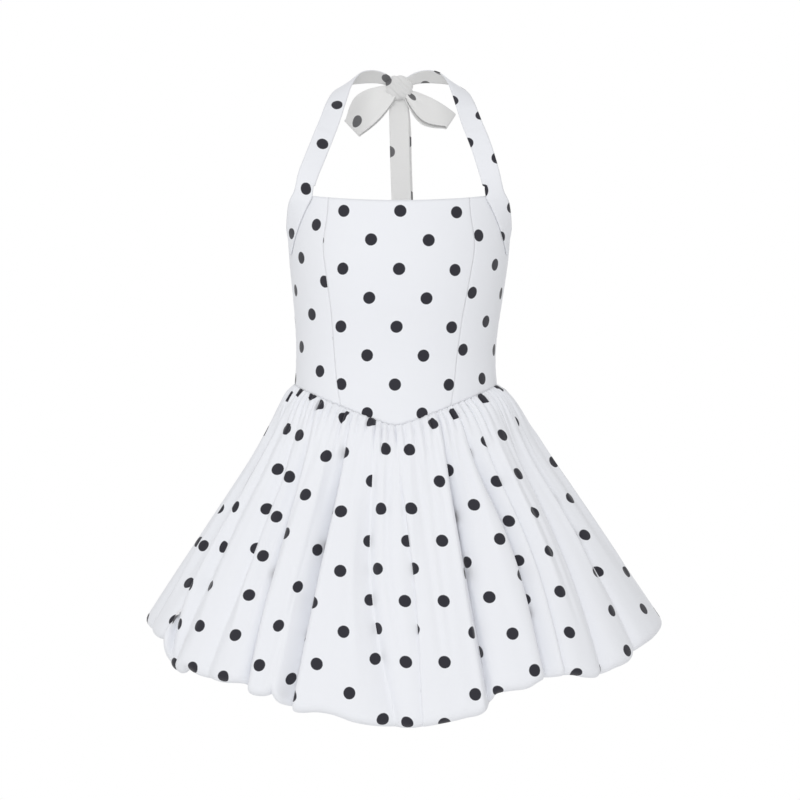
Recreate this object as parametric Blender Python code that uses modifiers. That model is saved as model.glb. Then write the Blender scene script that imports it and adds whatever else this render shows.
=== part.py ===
"""Halter-neck dress with a gathered bubble skirt, filled out and hollow.

Metres, +Z up. +X is to the right seen from the front, and the front faces -Y.
The origin is at the nape, on the inner face of the tied neck band, where the
wearer's neck holds the dress. Left and right are as seen from the front.

Every panel is a lofted sheet with a wall of the cloth's thickness. The bodice panels
lie on one oval body form, the straps and ties are ruled strips, and the skirt is one
gathered and fluted surface that is cut at its seams.
"""

import math

import bmesh
import bpy
from mathutils import Matrix, Vector

MM = 0.001

# ---- driving dimensions -------------------------------------------------------------------
CLOTH = 1.4 * MM            # wall of one layer of cloth with its seam allowances
SEAM_GAP = 0.45 * MM        # clear space between two sewn edges
LAY_GAP = 0.5 * MM          # clear space between a piece and the panel that it lies on
AXIS_Y = -75 * MM           # the body's vertical axis, in front of the nape
OVAL_POWER = 2.2            # 2 is an ellipse; more is squarer

# Body form, from the neckline down: height, half width, depth to the front and to the back
# of the axis, and sideways shift, all in mm.
FORM_COLUMNS = ("height", "half_width", "front", "back", "shift")
FORM = (
    (-130, 142.0, 108.0, 96.0, 0.0),
    (-160, 142.0, 114.0, 97.0, 0.0),
    (-206, 140.5, 120.0, 97.5, 0.0),
    (-240, 137.5, 121.0, 96.0, -0.5),
    (-280, 132.5, 116.0, 92.5, -1.5),
    (-320, 128.0, 107.0, 88.5, -3.0),
    (-355, 126.5, 101.0, 86.0, -4.0),
    (-387, 128.5, 100.5, 86.5, -4.0),
    (-415, 133.0, 103.0, 90.0, -4.0),
    (-445, 140.0, 107.0, 95.0, -4.0),
)

# Neckline, armhole and waist edges, in mm.
NECK_CENTRE_Z = -160.5
NECK_CORNER_Z = -152.5
NECK_CORNER_X = 107.0
UNDERARM_Z = -206.5
WAIST_SIDE_Z = -386.5
WAIST_POINT_DROP = 50.0     # how far the front point lies below the side waist
WAIST_POINT_SOFT = 0.07     # rounding of that point, as a share of the half width

# Princess seam: height and distance from the centre line, in mm.
PRINCESS_COLUMNS = ("height", "from_centre")
PRINCESS = (
    (-150, 87.0),
    (-178, 89.0),
    (-215, 93.8),
    (-252, 89.2),
    (-301, 81.5),
    (-356, 75.7),
    (-387, 72.5),
    (-425, 66.0),
)

BODICE_ROWS = 12            # rows of points from the waist to the top edge
CENTRE_COLUMNS = 13         # columns across the centre front panel
CORNER_COLUMNS = 2          # steps of a side front panel from its seam to the neckline corner
ARMHOLE_COLUMNS = 5         # and from there to the side seam
BACK_COLUMNS = 9            # columns across a back panel

# ---- skirt --------------------------------------------------------------------------------
SKIRT_GAP = 1.5 * MM        # from the bodice edge to the middle of the gathered edge
HEM_HALF_WIDTH = 325.0      # of the crests, where the hem starts to roll under, in mm
HEM_FRONT = 208.0
HEM_BACK = 205.0
HEM_SHIFT = 6.0
SPRING_OUT = 8.5            # how far the gathers push the cloth out just below the waist
SPRING_RIGHT = 2.5          # and how much more they do at the right side than at the front
SPRING_LENGTH = 11.0
ROLL_RADIUS = 10.0          # of the hem where it turns under
ROLL_SLOPE = 0.85           # share of that radius by which the roll reaches lower
RETURN_LENGTH = 32.0        # of the turned cloth going up inside
RETURN_TAPER = 6.0
FOLD_SOFT = 4.0             # rounding at the bottom of a fold
FOLD_GROWS = 0.35           # share of the length over which a fold reaches its depth
FOLD_TURNS = 0.5            # share below which it changes to its depth at the hem
LIFT_STARTS = 0.4           # share below which a fold lifts the cloth
GATHER_SEAM = 1.3           # depth of the small gathers at the waist seam
GATHER_FULL = 2.7           # and at their fullest
GATHER_RISE = 9.0           # distance below the seam over which they grow
GATHER_FADE = 62.0          # and over which they run out

# Lowest height of the hem by the angle from the centre front, the same on both sides, in mm.
HEM_COLUMNS = ("angle", "height")
HEM = (
    (-12, -792.0),
    (0, -794.5),
    (12, -789.0),
    (22, -777.0),
    (33, -757.0),
    (45, -748.0),
    (55, -740.0),
    (64, -724.0),
    (72, -709.0),
    (80, -697.0),
    (90, -691.0),
    (100, -696.0),
    (112, -708.0),
    (126, -721.0),
    (145, -732.0),
    (168, -738.0),
    (192, -738.0),
)

# Fold lines of the skirt, from the left back seam round the front to the right back:
# the angle round the body in degrees at the waist, half way and at the hem (0 is the
# centre front, +90 the right side), the depth of the fold half way and at the hem,
# its width in mm, how far it lifts the hem, and the number of small gathers between
# this line and the next.
FOLD_COLUMNS = ("name", "waist", "middle", "hem", "depth", "hem_depth", "width", "lift", "gathers")
FOLDS = (
    ("centre_back", -180.0, -180.0, -180.0, 0, 0, 10, 0, 2),
    ("back_left_1", -167.0, -167.0, -166.0, 16, 12, 13, 5, 3),
    ("back_left_2", -149.0, -150.0, -151.0, 20, 16, 12, 8, 3),
    ("back_left_3", -134.0, -134.0, -136.0, 15, 12, 14, 5, 3),
    ("back_left_4", -118.0, -120.0, -121.0, 19, 15, 12, 7, 3),
    ("back_left_5", -102.0, -103.0, -103.0, 15, 12, 13, 5, 2),
    ("side_left", -90.0, -90.0, -90.0, 0, 0, 10, 0, 1),
    ("front_0", -83.0, -83.0, -79.0, 8, 8, 10, 5, 2),
    ("front_1", -74.0, -75.5, -69.0, 17, 14, 12, 8, 4),
    ("front_2", -54.0, -53.0, -48.5, 12, 9, 14, 3, 2),
    ("front_3", -45.0, -45.5, -38.5, 20, 16, 12, 9, 4),
    ("front_4", -24.0, -26.0, -26.0, 24, 19, 12, 9, 3),
    ("front_5", -10.0, -9.5, -2.0, 15, 12, 15, 4, 5),
    ("front_7", 20.5, 20.0, 18.5, 22, 18, 12, 9, 3),
    ("front_8", 33.0, 38.5, 35.5, 21, 18, 15, 9, 4),
    ("front_9", 58.0, 60.0, 52.0, 16, 12, 13, 6, 2),
    ("front_10", 67.0, 69.0, 65.0, 12, 10, 13, 5, 4),
    ("side_right", 90.0, 90.0, 90.0, 0, 0, 10, 0, 2),
    ("back_right_5", 101.0, 103.0, 104.0, 16, 13, 13, 5, 3),
    ("back_right_4", 117.0, 119.0, 120.0, 18, 14, 12, 7, 3),
    ("back_right_3", 133.0, 135.0, 137.0, 16, 12, 14, 5, 3),
    ("back_right_2", 150.0, 150.0, 152.0, 20, 16, 12, 8, 3),
    ("back_right_1", 166.0, 167.0, 167.0, 16, 12, 13, 5, 2),
)
# Rows of the skirt's sheet: distance below the waist as a share of the cloth's length.
SKIRT_ROWS = (0.0, 0.016, 0.05, 0.11, 0.21, 0.34, 0.50, 0.67, 0.84, 1.0)
ROLL_TURNS = (55, 115, 180)  # degrees turned by the rows of the rolled hem

# ---- straps and tie, in mm ------------------------------------------------------------------
STRAP_WIDTH = 26.0
STRAP_CROWN = 0.5           # the strap's middle stands this much proud of its edges
STRAP_STEPS = 2             # rows of points between two sections of the strap
STRAP_COLUMNS = 2           # steps across the strap
# Along the armhole: angle round the body and height of the strap's front edge, how far the
# strap turns away from the body there and how far its width climbs, in degrees.
EDGE_COLUMNS = ("angle", "height", "turn", "climb")
ARMHOLE_STRAP = (
    (71.5, -223.0, 0.0, 8.0),
    (64.5, -205.5, 0.0, 14.0),
    (57.5, -186.0, 8.0, 20.0),
    (51.5, -169.0, 20.0, 22.0),
    (47.0, -155.0, 16.0, 21.0),
)
# Free run to the nape: centre of the strap on the left side, and its width direction from
# the edge next to the neck to the outer edge.
FREE_COLUMNS = ("x", "y", "z", "across_x", "across_y", "across_z", "width")
FREE_STRAP = (
    (113.5, -146.0, -128.0, 0.90, 0.24, 0.35, 26.0),
    (107.0, -139.0, -110.0, 0.92, 0.16, 0.36, 26.0),
    (98.3, -127.0, -86.2, 0.93, 0.14, 0.36, 26.0),
    (88.0, -110.0, -57.0, 0.92, 0.22, 0.32, 26.0),
    (79.5, -89.0, -30.0, 0.90, 0.38, 0.16, 26.0),
    (71.0, -65.0, -8.0, 0.84, 0.48, -0.22, 26.0),
    (58.0, -40.0, 6.0, 0.60, 0.62, -0.50, 26.0),
    (41.0, -19.5, 12.0, 0.34, 0.76, -0.56, 25.0),
    (24.0, -2.0, 13.0, 0.14, 0.82, -0.56, 22.0),
    (8.0, 8.0, 8.0, 0.05, 0.70, -0.70, 14.0),
)
RIGHT_STRAP_SPREAD = 3.5    # the right strap runs this much further out where it is free

KNOT_CENTRE = (0.0, 9.5, 1.5)
KNOT_HALF = (17.0, 8.5, 15.5)
KNOT_TILT = -38.0           # of the wrap across the knot, in degrees
KNOT_WRAP_DEPTH = 1.3       # of the hollows between its turns
KNOT_TURNS = 3              # soft turns across its half width
KNOT_SQUARE = 2.5           # 2 is an egg; more is squarer
KNOT_GAP = 0.35

# Bow loops: distance from the root, half width of the loop, how far its two layers stand
# apart and how much of its sideways swell it has there.
LOOP_COLUMNS = ("along", "half_width", "apart", "swell")
LOOP = (
    (3.0, 5.0, 3.6, 0.0),
    (14.0, 10.5, 5.0, 0.35),
    (28.0, 17.5, 7.0, 0.85),
    (42.0, 20.5, 8.0, 1.0),
    (56.0, 18.0, 7.5, 0.6),
    (69.0, 13.5, 6.0, 0.0),
)
LOOP_END_TURNS = (-45, 0, 45)  # degrees round the end of a loop at which rows lie
# Root, slope, lean towards the back, roll about its length, swell and size of each loop,
# seen from the front.
LOOP_LEFT = {"side": -1, "root": (-7.0, 6.5, -2.0), "slope": -42.0, "lean": 6.0, "roll": 10.0,
             "swell": 6.0, "size": 1.06}
LOOP_RIGHT = {"side": 1, "root": (10.6, 6.5, -5.0), "slope": -32.0, "lean": 5.0, "roll": 25.0,
              "swell": -4.0, "size": 0.96}

# Tie ends: height, sideways place and distance behind the nape of the strip's centre.
TAIL_COLUMNS = ("z", "x", "y", "width")
TAIL_INNER = (
    (-1.0, 0.0, 10.5, 14.0),
    (-22.0, -0.5, 15.5, 24.0),
    (-50.0, 0.5, 18.5, 26.0),
    (-95.0, 1.5, 22.5, 26.0),
    (-140.0, 3.0, 26.0, 26.0),
    (-172.0, 3.5, 29.0, 26.0),
)
TAIL_BEHIND_KNOT = 2.3      # the outer end hangs this far behind the inner one at the knot
TAIL_BEHIND = 4.2           # and this far lower down
TAIL_OUTER_SHIFT = 2.2
TAIL_OUTER_LONGER = 8.0
TAIL_SLANT = 6.0            # slant of the cut end

# ---- zip, in mm -----------------------------------------------------------------------------
ZIP_WIDTH = 17.0
ZIP_THICK = 1.2
ZIP_BELOW_WAIST = 95.0
ZIP_INSET = 3.0             # inside the skirt's centre back seam
ZIP_SAG = 0.35              # the tape's edges lie this much deeper than its middle
ZIP_STEPS = 9               # rows of points down the bodice
ZIP_SKIRT_STEPS = (0.35, 0.7, 1.0)  # and down the skirt, as shares of that length
SLIDER_SIZE = (6.4, 3.2, 9.0)
SLIDER_DROP = 7.0           # centre of the slider below the back's top edge
EAR_THICK = 0.9             # of the two ears that carry the pull's bar
EAR_HALF_HEIGHT = 1.4
BAR_RADIUS = 0.5
BAR_STAND_OFF = 1.9         # of the bar's axis from the slider's back face
EYE_BORE = 0.85             # radius of the pull's eye round that bar
EYE_RADIUS = 1.5
EYE_POINTS = 15             # along the eye's outside
PULL_WIDTH = 3.8
PULL_THICK = 1.0
PULL_LENGTH = 20.0          # from the bar to the pull's end

# ---- materials: colour, roughness, metallic ---------------------------------------------------
MATERIALS = {
    "cotton_print": ((0.82, 0.84, 0.88, 1.0), 0.8, 0.0),
    "cotton_tie": ((0.74, 0.74, 0.74, 1.0), 0.85, 0.0),
    "zip_tape": ((0.80, 0.80, 0.80, 1.0), 0.7, 0.0),
    "zip_metal": ((0.78, 0.78, 0.80, 1.0), 0.35, 0.6),
}


# ---- small helpers ------------------------------------------------------------------------
def rows_of(columns, table):
    """A table as a list of dictionaries."""
    return [dict(zip(columns, row)) for row in table]


def smooth(x):
    x = min(max(x, 0.0), 1.0)
    return x * x * (3 - 2 * x)


def mix(a, b, share):
    return a + (b - a) * share


def read_curve(x, xs, ys):
    """A smooth curve through the points of a table, straight past its ends."""
    order = sorted(range(len(xs)), key=lambda i: xs[i])
    xs = [xs[i] for i in order]
    ys = [ys[i] for i in order]
    slopes = []
    for i in range(len(xs)):
        low = max(i - 1, 0)
        high = min(i + 1, len(xs) - 1)
        slopes.append((ys[high] - ys[low]) / (xs[high] - xs[low]))
    if x <= xs[0]:
        return ys[0] + slopes[0] * (x - xs[0])
    if x >= xs[-1]:
        return ys[-1] + slopes[-1] * (x - xs[-1])
    i = max(k for k in range(len(xs) - 1) if xs[k] <= x)
    step = xs[i + 1] - xs[i]
    t = (x - xs[i]) / step
    return (
        (2 * t**3 - 3 * t**2 + 1) * ys[i]
        + (t**3 - 2 * t**2 + t) * step * slopes[i]
        + (3 * t**2 - 2 * t**3) * ys[i + 1]
        + (t**3 - t**2) * step * slopes[i + 1]
    )


def even_shares(count):
    """Evenly spaced shares from 0 to 1."""
    return [i / (count - 1) for i in range(count)]


def turned_apart(a, b):
    """The angle between two directions round the body."""
    return abs((a - b + math.pi) % (2 * math.pi) - math.pi)


def table_value(table, key, by, x):
    return read_curve(x, [row[by] for row in table], [row[key] for row in table])


FORM_ROWS = rows_of(FORM_COLUMNS, FORM)
PRINCESS_ROWS = rows_of(PRINCESS_COLUMNS, PRINCESS)
HEM_ROWS = rows_of(HEM_COLUMNS, HEM)
FOLD_ROWS = rows_of(FOLD_COLUMNS, FOLDS)
FREE_ROWS = rows_of(FREE_COLUMNS, FREE_STRAP)
ARMHOLE_ROWS = rows_of(EDGE_COLUMNS, ARMHOLE_STRAP)
LOOP_ROWS = rows_of(LOOP_COLUMNS, LOOP)
TAIL_ROWS = rows_of(TAIL_COLUMNS, TAIL_INNER)


def clear_scene():
    for old in list(bpy.data.objects):
        bpy.data.objects.remove(old, do_unlink=True)


def make_materials():
    made = {}
    for name, (colour, roughness, metallic) in MATERIALS.items():
        material = bpy.data.materials.new(name)
        material.use_nodes = True
        shader = material.node_tree.nodes["Principled BSDF"]
        shader.inputs["Base Color"].default_value = colour
        shader.inputs["Roughness"].default_value = roughness
        shader.inputs["Metallic"].default_value = metallic
        made[name] = material
    return made


def add_object(name, mesh, material, collection):
    made = bpy.data.objects.new(name, mesh)
    made.data.materials.append(material)
    collection.objects.link(made)
    return made


def sheet_mesh(name, rows):
    """An open sheet through rows of points, each row with the same number of points."""
    points = [point for row in rows for point in row]
    count = len(rows[0])
    faces = []
    for r in range(len(rows) - 1):
        for c in range(count - 1):
            a = r * count + c
            faces.append((a, a + 1, a + count + 1, a + count))
    mesh = bpy.data.meshes.new(name)
    mesh.from_pydata([tuple(p * MM) for p in points], [], faces)
    mesh.validate()
    mesh.shade_smooth()
    return mesh


def cloth_piece(name, rows, material, collection, side=-1.0, thick=CLOTH):
    """A sheet with a wall: side -1 puts the wall behind the sheet's faces, 0 astride them."""
    piece = add_object(name, sheet_mesh(name, rows), material, collection)
    wall = piece.modifiers.new("wall", "SOLIDIFY")
    wall.thickness = thick
    wall.offset = side
    wall.use_even_offset = True
    wall.use_quality_normals = True
    return piece


# ---- body form ------------------------------------------------------------------------------
def oval(angle, half_width, front, back, shift, power=OVAL_POWER):
    """A point of a flattened oval round the body's axis: angle 0 is the centre front."""
    s = math.sin(angle)
    c = math.cos(angle)
    size = (abs(s) ** power + abs(c) ** power) ** (1 / power)
    depth = front if c > 0 else back
    return shift + half_width * s / size, AXIS_Y / MM - depth * c / size


def form_values(height):
    return [table_value(FORM_ROWS, key, "height", height) for key in FORM_COLUMNS[1:]]


def form_point(angle, height):
    x, y = oval(angle, *form_values(height))
    return Vector((x, y, height))


def form_normal(angle, height):
    step = 0.01
    around = form_point(angle + step, height) - form_point(angle - step, height)
    upward = form_point(angle, height + 2) - form_point(angle, height - 2)
    return around.cross(upward).normalized()


def clear_of_form(point, lift):
    """Moves a point out from the body form until it stands clear of it."""
    half_width, front, back, shift = form_values(point.z)
    ahead = AXIS_Y / MM - point.y
    depth = front if ahead > 0 else back
    angle = math.atan2((point.x - shift) / half_width, ahead / depth)
    normal = form_normal(angle, point.z)
    away = (point - form_point(angle, point.z)).dot(normal)
    return point + normal * max(0.0, lift - away)


def angle_at(distance, height):
    """The angle round the body at which the front lies at a distance from the centre line."""
    half_width = form_values(height)[0]
    share = min(abs(distance) / half_width, 0.9999)
    rest = (1 - share**OVAL_POWER) ** (1 / OVAL_POWER)
    return math.copysign(math.atan2(share, rest), distance)


def waist_height(angle):
    """Height of the waist seam: level at the back, a soft point at the centre front."""
    if math.cos(angle) <= 0:
        return WAIST_SIDE_Z
    s = abs(math.sin(angle))
    across = math.sqrt(s * s + WAIST_POINT_SOFT**2)
    full = math.sqrt(1 + WAIST_POINT_SOFT**2)
    return WAIST_SIDE_Z - WAIST_POINT_DROP * (full - across) / (full - WAIST_POINT_SOFT)


def neck_height(angle):
    corner = angle_at(NECK_CORNER_X, NECK_CORNER_Z)
    return mix(NECK_CENTRE_Z, NECK_CORNER_Z, min(abs(angle) / corner, 1.0) ** 2)


def armhole_height(angle):
    corner = angle_at(NECK_CORNER_X, NECK_CORNER_Z)
    share = (abs(angle) - corner) / (math.pi / 2 - corner)
    return mix(NECK_CORNER_Z, UNDERARM_Z, smooth(share))


def princess_angle(height):
    return angle_at(table_value(PRINCESS_ROWS, "from_centre", "height", height), height)


def bodice_rows(across, left_edge, right_edge, top, bottom, down):
    """A panel between two seams. An edge is a function of height; top and bottom are
    functions of the angle; across and down are the shares at which points are placed."""
    def seam(edge, share):
        low = edge(WAIST_SIDE_Z)
        high = edge(NECK_CORNER_Z)
        for _ in range(4):
            low_z = bottom(low)
            high_z = top(high)
            low = edge(low_z)
            high = edge(high_z)
        return edge(mix(bottom(low), top(high), share))

    rows = []
    for up in down:
        row = []
        left = seam(left_edge, up)
        right = seam(right_edge, up)
        for share in across:
            foot = mix(seam(left_edge, 0), seam(right_edge, 0), share)
            head = mix(seam(left_edge, 1), seam(right_edge, 1), share)
            angle = mix(left, right, share)
            height = mix(bottom(foot), top(head), up)
            row.append((angle, height))
        rows.append(row)
    return rows


def inset_row(row, gap):
    """Pulls the two ends of a row of points in by half a seam's gap."""
    row = list(row)
    row[0] = row[0] + (row[1] - row[0]).normalized() * gap
    row[-1] = row[-1] + (row[-2] - row[-1]).normalized() * gap
    return row


def bodice_panel(name, across, left_edge, right_edge, top, material, collection):
    down = even_shares(BODICE_ROWS)
    grid = bodice_rows(across, left_edge, right_edge, top, waist_height, down)
    rows = [[form_point(angle, height) for angle, height in row] for row in grid]
    half_gap = SEAM_GAP / MM / 2
    rows = [inset_row(row, half_gap) for row in rows]
    return cloth_piece(name, rows, material, collection)


def build_bodice(material, collection):
    side = math.pi / 2
    bodice_panel(
        "bodice_front_centre", even_shares(CENTRE_COLUMNS),
        lambda z: -princess_angle(z), princess_angle, neck_height, material, collection,
    )

    def side_front_top(angle):
        corner = angle_at(NECK_CORNER_X, NECK_CORNER_Z)
        return neck_height(angle) if abs(angle) <= corner else armhole_height(angle)

    inner = princess_angle(NECK_CORNER_Z)
    corner_share = (angle_at(NECK_CORNER_X, NECK_CORNER_Z) - inner) / (side - inner)
    outward = [corner_share * i / CORNER_COLUMNS for i in range(CORNER_COLUMNS)]
    outward += [mix(corner_share, 1.0, share) for share in even_shares(ARMHOLE_COLUMNS + 1)]
    inward = [1 - share for share in reversed(outward)]
    bodice_panel(
        "bodice_side_front_left", inward,
        lambda z: -side, lambda z: -princess_angle(z), side_front_top, material, collection,
    )
    bodice_panel(
        "bodice_side_front_right", outward,
        princess_angle, lambda z: side, side_front_top, material, collection,
    )
    back = even_shares(BACK_COLUMNS)
    bodice_panel(
        "bodice_back_right", back,
        lambda z: side, lambda z: math.pi, lambda angle: UNDERARM_Z, material, collection,
    )
    bodice_panel(
        "bodice_back_left", back,
        lambda z: -math.pi, lambda z: -side, lambda angle: UNDERARM_Z, material, collection,
    )


# ---- skirt ------------------------------------------------------------------------------------
def fold_angle(fold, down):
    """Angle of a fold line: waist, middle and hem angles joined by a smooth curve."""
    return math.radians(read_curve(down, [0.0, 0.5, 1.0], [fold["waist"], fold["middle"], fold["hem"]]))


def hem_height(angle):
    """Where the hem starts to roll, a little above its lowest height."""
    turned = math.degrees(turned_apart(angle, 0.0))
    return table_value(HEM_ROWS, "height", "angle", turned) + ROLL_RADIUS * ROLL_SLOPE


def skirt_base(angle, down):
    """The skirt without its folds, through the tops of the flutes. down is 0 at the waist
    and 1 where the hem starts to roll."""
    top = form_point(angle, waist_height(angle))
    top.z -= SKIRT_GAP / MM
    top -= form_normal(angle, waist_height(angle)) * (CLOTH / MM / 2)
    x, y = oval(angle, HEM_HALF_WIDTH, HEM_FRONT, HEM_BACK, HEM_SHIFT, 2.0)
    hem = Vector((x, y, hem_height(angle)))
    length = (hem - top).length
    spring = 1 - math.exp(-down * length / SPRING_LENGTH)
    outward = Vector((math.sin(angle), -math.cos(angle), 0))
    springs = SPRING_OUT + SPRING_RIGHT * math.sin(angle)
    return top.lerp(hem, down) + outward * springs * (spring - down)


def skirt_length(angle):
    return (skirt_base(angle, 1) - skirt_base(angle, 0)).length


def skirt_frame(angle, down):
    """Outward normal and downward direction of the skirt without its folds."""
    around = skirt_base(angle + 0.01, down) - skirt_base(angle - 0.01, down)
    low = min(down + 0.02, 1.0)
    along = (skirt_base(angle, low) - skirt_base(angle, low - 0.04)).normalized()
    outward = along.cross(around).normalized()
    return outward, along


def fold_shape(angle, down, fold, around_scale):
    """1 in the bottom of a fold, falling to 0 beside it."""
    distance = turned_apart(angle, fold_angle(fold, down)) * around_scale
    rounded = math.sqrt(distance**2 + FOLD_SOFT**2) - FOLD_SOFT
    return math.exp(-rounded / fold["width"])


def skirt_point(angle, down, gather):
    """A point of the skirt's outer half: gather is -1 in a small valley, +1 on a ridge."""
    step = 0.02
    around_scale = (skirt_base(angle + step, down) - skirt_base(angle - step, down)).length / (2 * step)
    depth = 0.0
    lift = 0.0
    for fold in FOLD_ROWS:
        shape = fold_shape(angle, down, fold, around_scale)
        grown = fold["depth"] * smooth(down / FOLD_GROWS)
        grown = mix(grown, fold["hem_depth"], smooth((down - FOLD_TURNS) / (1 - FOLD_TURNS)))
        depth += grown * shape
        lift += fold["lift"] * shape * smooth((down - LIFT_STARTS) / (1 - LIFT_STARTS))
    outward, along = skirt_frame(angle, down)
    below = down * skirt_length(angle)
    rise = mix(GATHER_SEAM, GATHER_FULL, smooth(below / GATHER_RISE))
    small = rise * (1 - smooth(below / GATHER_FADE))
    return skirt_base(angle, down) + outward * (gather * small - depth) - along * lift


def skirt_columns(first, last):
    """Columns between two seams: a fold line on every even one, gathers between them."""
    columns = []
    for i in range(first, last):
        here = FOLD_ROWS[i % len(FOLD_ROWS)]
        after = FOLD_ROWS[(i + 1) % len(FOLD_ROWS)]
        steps = 2 * here["gathers"]
        for k in range(steps):
            columns.append((here, after, k / steps, 1 if k % 2 else -1))
    end = FOLD_ROWS[last % len(FOLD_ROWS)]
    columns.append((end, end, 0.0, -1))
    # the cloth lies flat beside a seam
    for k in (0, 1, -2, -1):
        columns[k] = columns[k][:3] + (0,)
    return columns


def column_angle(column, down):
    here, after, share, _ = column
    start = fold_angle(here, down)
    stop = fold_angle(after, down)
    if stop < start - 0.001:
        stop += 2 * math.pi
    return mix(start, stop, share)


def skirt_rows(first, last):
    columns = skirt_columns(first, last)
    rows = [
        [skirt_point(column_angle(c, down), down, c[3]) for c in columns]
        for down in SKIRT_ROWS
    ]
    edge = rows[-1]
    frames = [skirt_frame(column_angle(c, 1.0), 1.0) for c in columns]
    for turn in ROLL_TURNS:
        t = math.radians(turn)
        rows.append([
            point - out * ROLL_RADIUS * (1 - math.cos(t)) + along * ROLL_RADIUS * math.sin(t)
            for point, (out, along) in zip(edge, frames)
        ])
    rows.append([
        point - out * (2 * ROLL_RADIUS + RETURN_TAPER) - along * RETURN_LENGTH
        for point, (out, along) in zip(edge, frames)
    ])
    return [inset_row(row, SEAM_GAP / MM / 2) for row in rows]


def fold_index(name):
    return [fold["name"] for fold in FOLD_ROWS].index(name)


def build_skirt(material, collection):
    left = fold_index("side_left")
    right = fold_index("side_right")
    for name, first, last in (
        ("skirt_front", left, right),
        ("skirt_back_right", right, len(FOLD_ROWS)),
        ("skirt_back_left", 0, left),
    ):
        cloth_piece(name, skirt_rows(first, last)[::-1], material, collection, side=0.0)


# ---- straps, knot and bow -----------------------------------------------------------------------
def armhole_section(row, sign):
    """Both edges of the strap beside the armhole: the front edge lies on the bodice."""
    angle = math.radians(row["angle"]) * sign
    lift = LAY_GAP / MM + CLOTH / MM / 2
    normal = form_normal(angle, row["height"])
    inner = form_point(angle, row["height"]) + normal * lift
    step = 0.01 * sign
    around = (form_point(angle + step, row["height"]) - form_point(angle, row["height"])).normalized()
    turn = math.radians(row["turn"])
    climb = math.radians(row["climb"])
    across = (around * math.cos(turn) + normal * math.sin(turn)) * math.cos(climb)
    across.z += math.sin(climb)
    return inner, inner + across * STRAP_WIDTH


def free_section(row, sign, spread):
    centre = Vector((row["x"] + spread, row["y"], row["z"]))
    across = Vector((row["across_x"], row["across_y"], row["across_z"])).normalized()
    half = across * row["width"] / 2
    inner = centre - half
    outer = centre + half
    return Vector((sign * inner.x, inner.y, inner.z)), Vector((sign * outer.x, outer.y, outer.z))


def smooth_rows(sections, parts):
    """Rows of points between the two edges of a strip, read from smooth curves through
    the edges of its sections."""
    count = len(sections)
    rows = []
    for i in range((count - 1) * parts + 1):
        at = i / parts
        edges = []
        for side in range(2):
            edges.append(Vector([
                read_curve(at, list(range(count)), [section[side][axis] for section in sections])
                for axis in range(3)
            ]))
        rows.append(edges)
    return rows


def strip_rows(sections, parts, across, crown):
    """A strip between two edges, crowned by a small amount across its width."""
    rows = []
    edges = smooth_rows(sections, parts)
    for i, (inner, outer) in enumerate(edges):
        before = edges[max(i - 1, 0)]
        after = edges[min(i + 1, len(edges) - 1)]
        along = (after[0] + after[1] - before[0] - before[1]).normalized()
        normal = (outer - inner).cross(along).normalized()
        if normal.dot(Vector((0, AXIS_Y / MM, 0)) - inner) > 0:
            normal = -normal
        rows.append([
            inner.lerp(outer, k / across) + normal * crown * math.sin(math.pi * k / across)
            for k in range(across + 1)
        ])
    return rows


def knot_mesh(name, gap=0.0):
    """A rounded lump of wrapped cloth: three soft turns run across it on the slant."""
    work = bmesh.new()
    bmesh.ops.create_uvsphere(work, u_segments=20, v_segments=12, radius=1.0)
    tilt = math.radians(KNOT_TILT)
    for vert in work.verts:
        p = vert.co.copy()
        along = p.x * math.cos(tilt) + p.z * math.sin(tilt)
        turns = 0.5 + 0.5 * math.cos(along * KNOT_TURNS * math.pi)
        p /= sum(abs(value) ** KNOT_SQUARE for value in p) ** (1 / KNOT_SQUARE)
        for axis in range(3):
            half = KNOT_HALF[axis] + gap - KNOT_WRAP_DEPTH * turns
            p[axis] = KNOT_CENTRE[axis] + p[axis] * half
        vert.co = p * MM
    bmesh.ops.triangulate(work, faces=work.faces)
    mesh = bpy.data.meshes.new(name)
    work.to_mesh(mesh)
    work.free()
    mesh.shade_smooth()
    return mesh


def cut_by_knot(piece, cutter):
    facets = piece.modifiers.new("facets", "TRIANGULATE")
    facets.keep_custom_normals = False
    cut = piece.modifiers.new("knot", "BOOLEAN")
    cut.operation = "DIFFERENCE"
    cut.solver = "EXACT"
    cut.object = cutter


def loop_rows(place):
    """A bow loop: a strip out from the knot, round its end and back behind itself."""
    slope = math.radians(place["slope"])
    side = place["side"]
    out = Vector((side * math.cos(slope), 0, math.sin(slope)))
    across = Vector((side * math.sin(-slope), 0, math.cos(slope)))
    roll = math.radians(place["roll"])
    lean = math.radians(place["lean"])
    back = Vector((0, 1, 0))
    across = across * math.cos(roll) + back * math.sin(roll)
    out = out * math.cos(lean) + back * math.sin(lean)
    depth = out.cross(across).normalized()
    if depth.y < 0:
        depth = -depth
    root = Vector(place["root"])
    size = place["size"]
    last = LOOP_ROWS[-1]
    path = [(row["along"], row["half_width"], -row["apart"] / 2, row["swell"]) for row in LOOP_ROWS]
    for turn in LOOP_END_TURNS:
        t = math.radians(turn)
        radius = last["apart"] / 2
        path.append((last["along"] + radius * math.cos(t), last["half_width"], radius * math.sin(t), 0.0))
    path += [
        (row["along"], row["half_width"], row["apart"] / 2, row["swell"]) for row in reversed(LOOP_ROWS)
    ]
    rows = []
    for along, half_width, away, swell in path:
        centre = root + out * along * size + depth * away + across * swell * place["swell"]
        rows.append([centre + across * half_width * size * k / 2 for k in (-2, -1, 0, 1, 2)])
    return rows if side > 0 else [row[::-1] for row in rows]


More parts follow.
